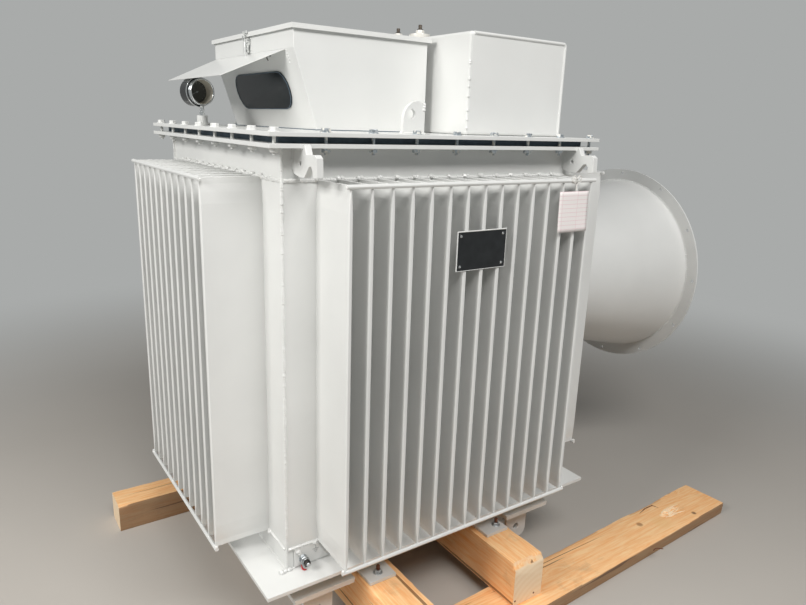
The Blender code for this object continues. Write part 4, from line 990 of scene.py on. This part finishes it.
# Painted shade: the earth sign's grey lines stand in for shade in scored grooves.
cage = bmesh.new()
sign = low + SIGN_SHIFT
wire(cage, [sign + UP * SIGN_STEM, sign], SIGN_LINE, 5)
for k, half in enumerate(SIGN_BARS):
    wire(cage, [sign + Vector((end, 0, -SIGN_SPACING * k)) for end in (-half, half)], SIGN_LINE, 5)
piece("earth_sign", cage, grey_print_and_groove_shade)
red = surface("red_marking_paint", "#b4262a", "#c8383a", (0.3, 0.4), 0.01)[0]
cage = bmesh.new()
mark = Vector((at(*RED_MARK).x, low.y - RED_MARK_OUT, at(*RED_MARK).z))
tube(cage, [mark + Vector(stroke[:3]) for stroke in RED_STROKE], [stroke[3] for stroke in RED_STROKE], 8)
piece("red_mark", cage, red)

# Underframe bolts: painted bolts under the corner brackets, and a dark plated nut on a rusty stub that
# holds each skid pad to its timber.
BRACKET_BOLT_SET_IN = 0.016
BRACKET_DROP = 0.0873
BRACKET_BOLT_SIZE = 0.8
PAD_OUT = 0.047
PAD_THICKNESS = 0.010
PAD_SHIFTS = (("left_skid_channel", 0.0), ("right_skid_channel", 0.020))
PAD_WASHER_RADIUS = 0.0150
PAD_WASHER_THICKNESS = 0.0026
PAD_NUT_RADIUS = 0.0112
PAD_NUT_HEIGHT = 0.009
STUB_RADIUS = 0.0062
STUB_LENGTH = 0.026
rust = surface("rusted_stub", "#5a3626", "#7a4a32", (0.7, 0.9), 0.003, 0.2, 0.002, 0.0003)[0]
cage = bmesh.new()
for side in ("front", "rear"):
    for end in ("left", "right"):
        low, high = corners(side + "_" + end + "_roller_bracket")
        edge_y = low.y + BRACKET_BOLT_SET_IN if side == "front" else high.y - BRACKET_BOLT_SET_IN
        for x in (low.x + BRACKET_BOLT_SET_IN, high.x - BRACKET_BOLT_SET_IN):
            bolt(cage, Vector((x, edge_y, base_low.z - BRACKET_DROP)), Vector((0, 0, -1)), BRACKET_BOLT_SIZE)
piece("bracket_bolts", cage, enamel)
nuts, stubs = bmesh.new(), bmesh.new()
for name, shift in PAD_SHIFTS:
    low, high = corners(name)
    for y in (tank_low.y - PAD_OUT, tank_high.y + PAD_OUT):
        spot = Vector(((low.x + high.x) / 2 + shift, y, low.z + PAD_THICKNESS))
        washer(nuts, facing(spot, UP), PAD_WASHER_RADIUS, PAD_WASHER_THICKNESS)
        hexagon(nuts, facing(spot + UP * PAD_WASHER_THICKNESS, UP, 0.2), PAD_NUT_RADIUS, PAD_NUT_HEIGHT)
        threaded(stubs, facing(spot, UP), STUB_RADIUS, 0.008, STUB_LENGTH)
piece("pad_nuts", nuts, zinc)
piece("pad_stubs", stubs, rust)

# Timbers: sawn pine, orange-tan along the grain with brown knots, paler at the cut ends.
# Some edges keep the round of the log, and the sawn faces are a little uneven.
GRAIN_WIDTH = 0.009
GRAIN_STRETCH = 16
LEAN_SPACING = 0.063
KNOT_SPACING = 0.175
KNOT_STRETCH = 2
KNOT_PULL_REACH = 0.22
SPLIT_SPACING = 0.016
SPLIT_STRETCH = 70
PINE_CLOUD = 0.25
GRAIN_RELIEF = 0.0009
RINGS_A_METRE = 14.0
SOIL_PATCHES_A_METRE = 9.0


def pine_along(name, axis, marks=()):
    """Sawn pine with its grain along X or Y. Marks, such as knots, are (place, reach, colour, strength)."""
    material, tree, shader, place, drift = surface(name, "#f7b676", "#ffcd93", (0.62, 0.8), PINE_CLOUD)
    drawn_out = []
    for stretch in (GRAIN_STRETCH, KNOT_STRETCH, SPLIT_STRETCH):
        squeeze = [1, 1, 1]
        squeeze[axis] = 1 / stretch
        drawn_out.append(node(tree, "Mapping", Vector=place, Scale=squeeze).outputs[0])
    along, knot_place, split_place = drawn_out
    knots = node(tree, "TexVoronoi", Vector=knot_place, Scale=1 / KNOT_SPACING).outputs["Distance"]
    pull = node(tree, "MapRange", Value=knots, From_Max=KNOT_PULL_REACH, To_Min=1.0,
                To_Max=0.0).outputs[0]
    lean = node(tree, "TexNoise", Vector=along, Scale=1 / LEAN_SPACING, Detail=2.0).outputs["Color"]
    leaning = node(tree, "VectorMath", {"operation": "MULTIPLY_ADD"}, i0=lean, i1=(0.05, 0.05, 0.05),
                   i2=along).outputs[0]
    pulled = node(tree, "VectorMath", {"operation": "MULTIPLY"}, i0=place, i1=pull).outputs[0]
    swerved = node(tree, "VectorMath", {"operation": "MULTIPLY_ADD"}, i0=pulled, i1=(0.06, 0.06, 0.06),
                   i2=leaning).outputs[0]
    grain = node(tree, "TexNoise", Vector=swerved, Scale=1 / GRAIN_WIDTH, Detail=4.0,
                 Roughness=0.6).outputs["Fac"]
    ringed = node(tree, "ValToRGB", Fac=grain)
    for stop, share, tint in zip(ringed.color_ramp.elements, (0.35, 0.62), ("#f3ad6e", "#ffdaa8")):
        stop.position = share
        stop.color = colour(tint)
    soil = node(tree, "TexNoise", Vector=place, Scale=SOIL_PATCHES_A_METRE, Detail=6.0,
                Roughness=0.7).outputs["Fac"]
    splits = node(tree, "TexNoise", Vector=split_place, Scale=1 / SPLIT_SPACING,
                  Detail=1.0).outputs["Fac"]
    normal = node(tree, "TexCoord").outputs["Normal"]
    faced = node(tree, "SeparateXYZ", Vector=normal).outputs
    end_on = node(tree, "Math", {"operation": "ABSOLUTE"}, i0=faced[axis]).outputs[0]
    rings = node(tree, "TexWave", {"wave_type": "RINGS", "rings_direction": "XYZ"[axis]}, Vector=place,
                 Scale=RINGS_A_METRE, Distortion=1.5, Detail=2.0).outputs["Fac"]
    cut = node(tree, "Mix", {"data_type": "RGBA"}, i0=rings, i6=colour("#f3d8b4"),
               i7=colour("#f7dfbf")).outputs[2]
    # What tints the wood, where its tint starts and is full, its strength at both, and the tint.
    stains = [(knots, 0.035, 0.075, 0.9, 0.0, colour("#70421f")),
              (soil, 0.56, 0.74, 0.0, 0.28, colour("#7d6a58")),
              (splits, 0.70, 0.72, 0.0, 0.75, colour("#5d3b20")), (end_on, 0.8, 0.92, 0.0, 1.0, cut)]
    # Painted shade: on timbers along X, faces that look towards -Y, the near sides, darken to brown-grey.
    if axis == 0:
        stains.append((faced[1], -0.70, -0.93, 0.0, 0.72, colour("#6d5646")))
    for spot, reach, tint, strength in marks:
        apart = node(tree, "VectorMath", {"operation": "DISTANCE"}, i0=place, i1=spot).outputs["Value"]
        stains.append((apart, reach * 0.5, reach, strength, 0.0, colour(tint)))
    base = shader.inputs["Base Color"].links[0].from_socket
    tone = node(tree, "Mix", {"data_type": "RGBA"}, i0=0.62, i6=base, i7=ringed.outputs[0]).outputs[2]
    for value, start, full, first, last, tint in stains:
        share = node(tree, "MapRange", Value=value, From_Min=start, From_Max=full, To_Min=first,
                     To_Max=last).outputs[0]
        tone = node(tree, "Mix", {"data_type": "RGBA"}, i0=share, i6=tone, i7=tint).outputs[2]
    tree.links.new(tone, shader.inputs["Base Color"])
    bump = node(tree, "Bump", Strength=1.0, Distance=GRAIN_RELIEF, Height=grain)
    tree.links.new(bump.outputs[0], shader.inputs["Normal"])
    return material


STATION = 0.015
EDGE_STEPS = 11
NOTCH_STEPS = 14
BREAK_STEPS = 4
ARRIS = 0.004
UNEVEN = 0.0016
FLAT_FOOT = 0.002
COARSE_SAW = Vector((9, 40, 40))
FINE_SAW = Vector((30, 90, 90))


def timber(name, axes, length, width, height, waney, material, notch=0.0, notch_height=0.0, undercut=0.0,
           broken=None):
    """A sawn timber along its own X, resting on its Z = 0.

    Waney places, where the log's round shows, are (side, along, reach, depth, fall).
    A notch takes its height out of the underside, over its length at the far end. An undercut leans
    the near side in towards its foot. A broken edge, (reach, drop), takes the top off its near end.
    """
    cage = bmesh.new()
    rings = []
    stations = round(length / STATION)
    places = [(length * (s / stations - 0.5), 0.0) for s in range(stations + 1)]
    if notch:
        start = length / 2 - notch
        places = [(x, lift) for x, lift in places if x < start - STATION / 3] + [(start, 0.0)]
        places += [(start + SAME_POINT, notch_height)]
        places += [(start + notch * k / NOTCH_STEPS, notch_height) for k in range(1, NOTCH_STEPS + 1)]
    if broken:
        start = -length / 2
        places = [(x, lift) for x, lift in places if x > start + broken[0] + STATION / 3]
        places = [(start + broken[0] * k / BREAK_STEPS, 0.0) for k in range(BREAK_STEPS + 1)] + places
    for x, lift in places:
        rounds, falls = {}, {}
        for side in (-1, 1):
            swell = [(depth * math.exp(-((x - along) / reach) ** 4), fall)
                     for where, along, reach, depth, fall in waney if where == side]
            wander = 0.8 + 0.4 * noise.noise(Vector((x * 11, side, 3)))
            rounds[side] = ARRIS + sum(depth for depth, fall in swell) * wander
            falls[side] = max([fall for depth, fall in swell] + [1.0])
        ring = []
        for edge in range(4):
            for k in range(EDGE_STEPS):
                share = k / EDGE_STEPS - 0.5
                y, z = ((share * width, height), (width / 2, height * (0.5 - share)),
                        (-share * width, 0), (-width / 2, height * (0.5 + share)))[edge]
                side = 1 if y > 0 else -1
                reach_y = rounds[side] if z > height / 2 else ARRIS
                reach_z = min(reach_y / falls[side], height / 2 - ARRIS)
                inner_y = max(-width / 2 + reach_y, min(width / 2 - reach_y, y))
                inner_z = max(reach_z, min(height - reach_z, z)) if z > height / 2 else max(ARRIS, z)
                if z <= height / 2:
                    reach_z = ARRIS
                away = Vector((0, (y - inner_y) / reach_y, (z - inner_z) / reach_z))
                if away.length > 1:
                    away.normalize()
                spot = Vector((x, inner_y + away.y * reach_y, inner_z + away.z * reach_z))
                sawn = Vector((x, y, z))
                rough = UNEVEN * (noise.noise(sawn * COARSE_SAW) + 0.6 * noise.noise(sawn * FINE_SAW))
                if z > FLAT_FOOT:
                    spot -= Vector((0, math.copysign(abs(rough), y), abs(rough)))
                if y < 0:
                    spot.y += undercut * (1 - spot.z / height)
                if broken:
                    near_end = max(0.0, 1 - (x + length / 2) / broken[0])
                    ragged = 1 + 0.5 * noise.noise(Vector((x * 90, y * 45, 5)))
                    spot.z = min(spot.z, height - broken[1] * near_end * ragged)
                spot.z = lift + spot.z * (height - lift) / height
                ring.append(cage.verts.new(axes @ spot))
        rings.append(ring)
    skin(cage, rings)
    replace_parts(piece(name + "_sawn", cage, material, sharp=50), name)


FRONT_TIMBER_SKEW = math.radians(2.3)
FRONT_TIMBER_WIDTH = 0.180
FRONT_TIMBER_FACE = -0.313
SEAT = 0.0003


def over(x, y, height):
    """A place over the point (x, y), measured as in at, at a height in the shared frame."""
    return Vector((*at(x, y, 0).xy, height))


low, high = corners("front_timber")
MARKS = [(over(1.213, FRONT_TIMBER_FACE - 0.012, high.z - 0.022), 0.026, "#3f2c1e", 0.9),
         (over(1.560, -0.205, high.z), 0.050, "#f2c489", 0.5),
         (over(1.470, -0.165, high.z), 0.016, "#8a5c34", 0.7),
         (over(1.700, FRONT_TIMBER_FACE + 0.02, high.z), 0.022, "#6e4a2c", 0.6),
         (over(1.740, FRONT_TIMBER_FACE + 0.08, high.z), 0.012, "#5a3c26", 0.8)]
pine_x = pine_along("sawn_pine_along_x", 0, MARKS)
pine_y = pine_along("sawn_pine_along_y", 1)
skewed_across = FRONT_TIMBER_WIDTH * math.sin(FRONT_TIMBER_SKEW)
skewed_length = (high.x - low.x - skewed_across) / math.cos(FRONT_TIMBER_SKEW)
front_axes = Matrix.Translation(centre(low, high, 0)) @ Matrix.Rotation(FRONT_TIMBER_SKEW, 4, "Z")
timber("front_timber", front_axes, skewed_length, FRONT_TIMBER_WIDTH, high.z,
       ((1, 0.78, 0.10, 0.020, 1.6), (1, 0.30, 0.22, 0.008, 1.0), (-1, 0.55, 0.40, 0.020, 2.2),
        (-1, -0.6, 0.3, 0.010, 1.0)), pine_x, undercut=0.004)
rear_low, rear_high = corners("rear_timber")
timber("rear_timber", Matrix.Translation(centre(rear_low, rear_high, 0)), rear_high.x - rear_low.x,
       rear_high.y - rear_low.y, rear_high.z,
       ((1, -0.3, 0.4, 0.016, 1.0), (-1, 0.6, 0.2, 0.012, 1.0), (-1, -1.10, 0.03, 0.02, 1.0)), pine_x)
SIDE_TIMBERS = (("left_timber", ((1, -0.55, 0.3, 0.010, 1.0),), (0.010, 0.006)),
                ("right_timber", ((1, -0.62, 0.12, 0.006, 0.6), (-1, -0.6, 0.2, 0.006, 1.0)), (0.016, 0.024)))
for name, waney, broken in SIDE_TIMBERS:
    low, high = corners(name)
    axes = Matrix.Translation(centre(low, high, low.z)) @ Matrix.Rotation(math.pi / 2, 4, "Z")
    timber(name, axes, high.y - low.y, high.x - low.x, high.z - low.z, waney, pine_y,
           notch=high.y - rear_low.y + SEAT, notch_height=rear_high.z + SEAT - low.z, broken=broken)

# Nails: round wire nails driven through the crossings, rusty, with one bent over in the front timber's side.
NAIL_RADIUS = 0.0034
NAIL_SHANK = 0.0018
END_NAILS = ((0.704, -0.241), (0.7895, -0.2426))
BENT_NAIL = (1.375, -0.300)
BENT_NAIL_PATH = ((0, 0, 0), (0.003, -0.002, 0.007), (0.012, -0.006, 0.009), (0.036, -0.016, 0.004))
LEANING_NAIL = (0.777, -0.3155)
right_low = corners("right_timber")[0]
front_top = corners("front_timber")[1].z
heads = [(Vector((at(x, 0, 0).x, right_low.y, at(0, 0, z).z)), FORWARD, 0.004) for x, z in END_NAILS]
heads.append((over(*LEANING_NAIL, front_top - 0.012), Vector((0, -1, 0.3)).normalized(), 0.008))
cage = bmesh.new()
for spot, out, shank in heads:
    nail = [(0, 0.0012), (NAIL_RADIUS, 0.0008), (NAIL_RADIUS, -shank), (0, -shank)]
    turned(cage, facing(spot, out), nail, 10)
bent = over(*BENT_NAIL, front_top - 0.004)
wire(cage, [bent + Vector(shift) for shift in BENT_NAIL_PATH], NAIL_SHANK, 6)
piece("nail_heads", cage, rust)

# Splinters torn up on the front timber where a wedge was prised off: fresh, paler wood than the sawn face,
# with a dark crack where the tear began.
SPLINTER_COUNT = 26
TEAR_X = (1.582, 1.682)
TEAR_Y = (-0.197, -0.153)
SPLINTER_SINK = 0.003
SPLINTER_ARCH = 0.002
SPLINTER_REACH = ((0.020, 0.060), (-0.016, 0.010), (0.002, 0.010))
SPLINTER_RADII = (0.0020, 0.0045)
CRACK_SINK = 0.0014
CRACK = ((1.536, -0.115), (1.589, -0.103), (1.635, -0.104), (1.647, -0.135))
CRACK_RADII = (0.0010, 0.0026, 0.0030, 0.0008)
fresh_pine = surface("fresh_torn_pine", "#ffe0b4", "#ffedcf", (0.6, 0.75), 0.01, 0.0, 0.002, 0.0002)[0]
cage = bmesh.new()
for k in range(SPLINTER_COUNT):
    root = over(luck.uniform(*TEAR_X), luck.uniform(*TEAR_Y), front_top - SPLINTER_SINK)
    lean = Vector([luck.uniform(*span) for span in SPLINTER_REACH])
    tube(cage, [root, root + lean * 0.5 + UP * SPLINTER_ARCH, root + lean],
         [luck.uniform(*SPLINTER_RADII), 0.0022, 0.0005], 5)
piece("torn_splinters", cage, fresh_pine)
cage = bmesh.new()
tube(cage, [over(x, y, front_top - CRACK_SINK) for x, y in CRACK], CRACK_RADII, 6)
piece("tear_cracks", cage, rust)
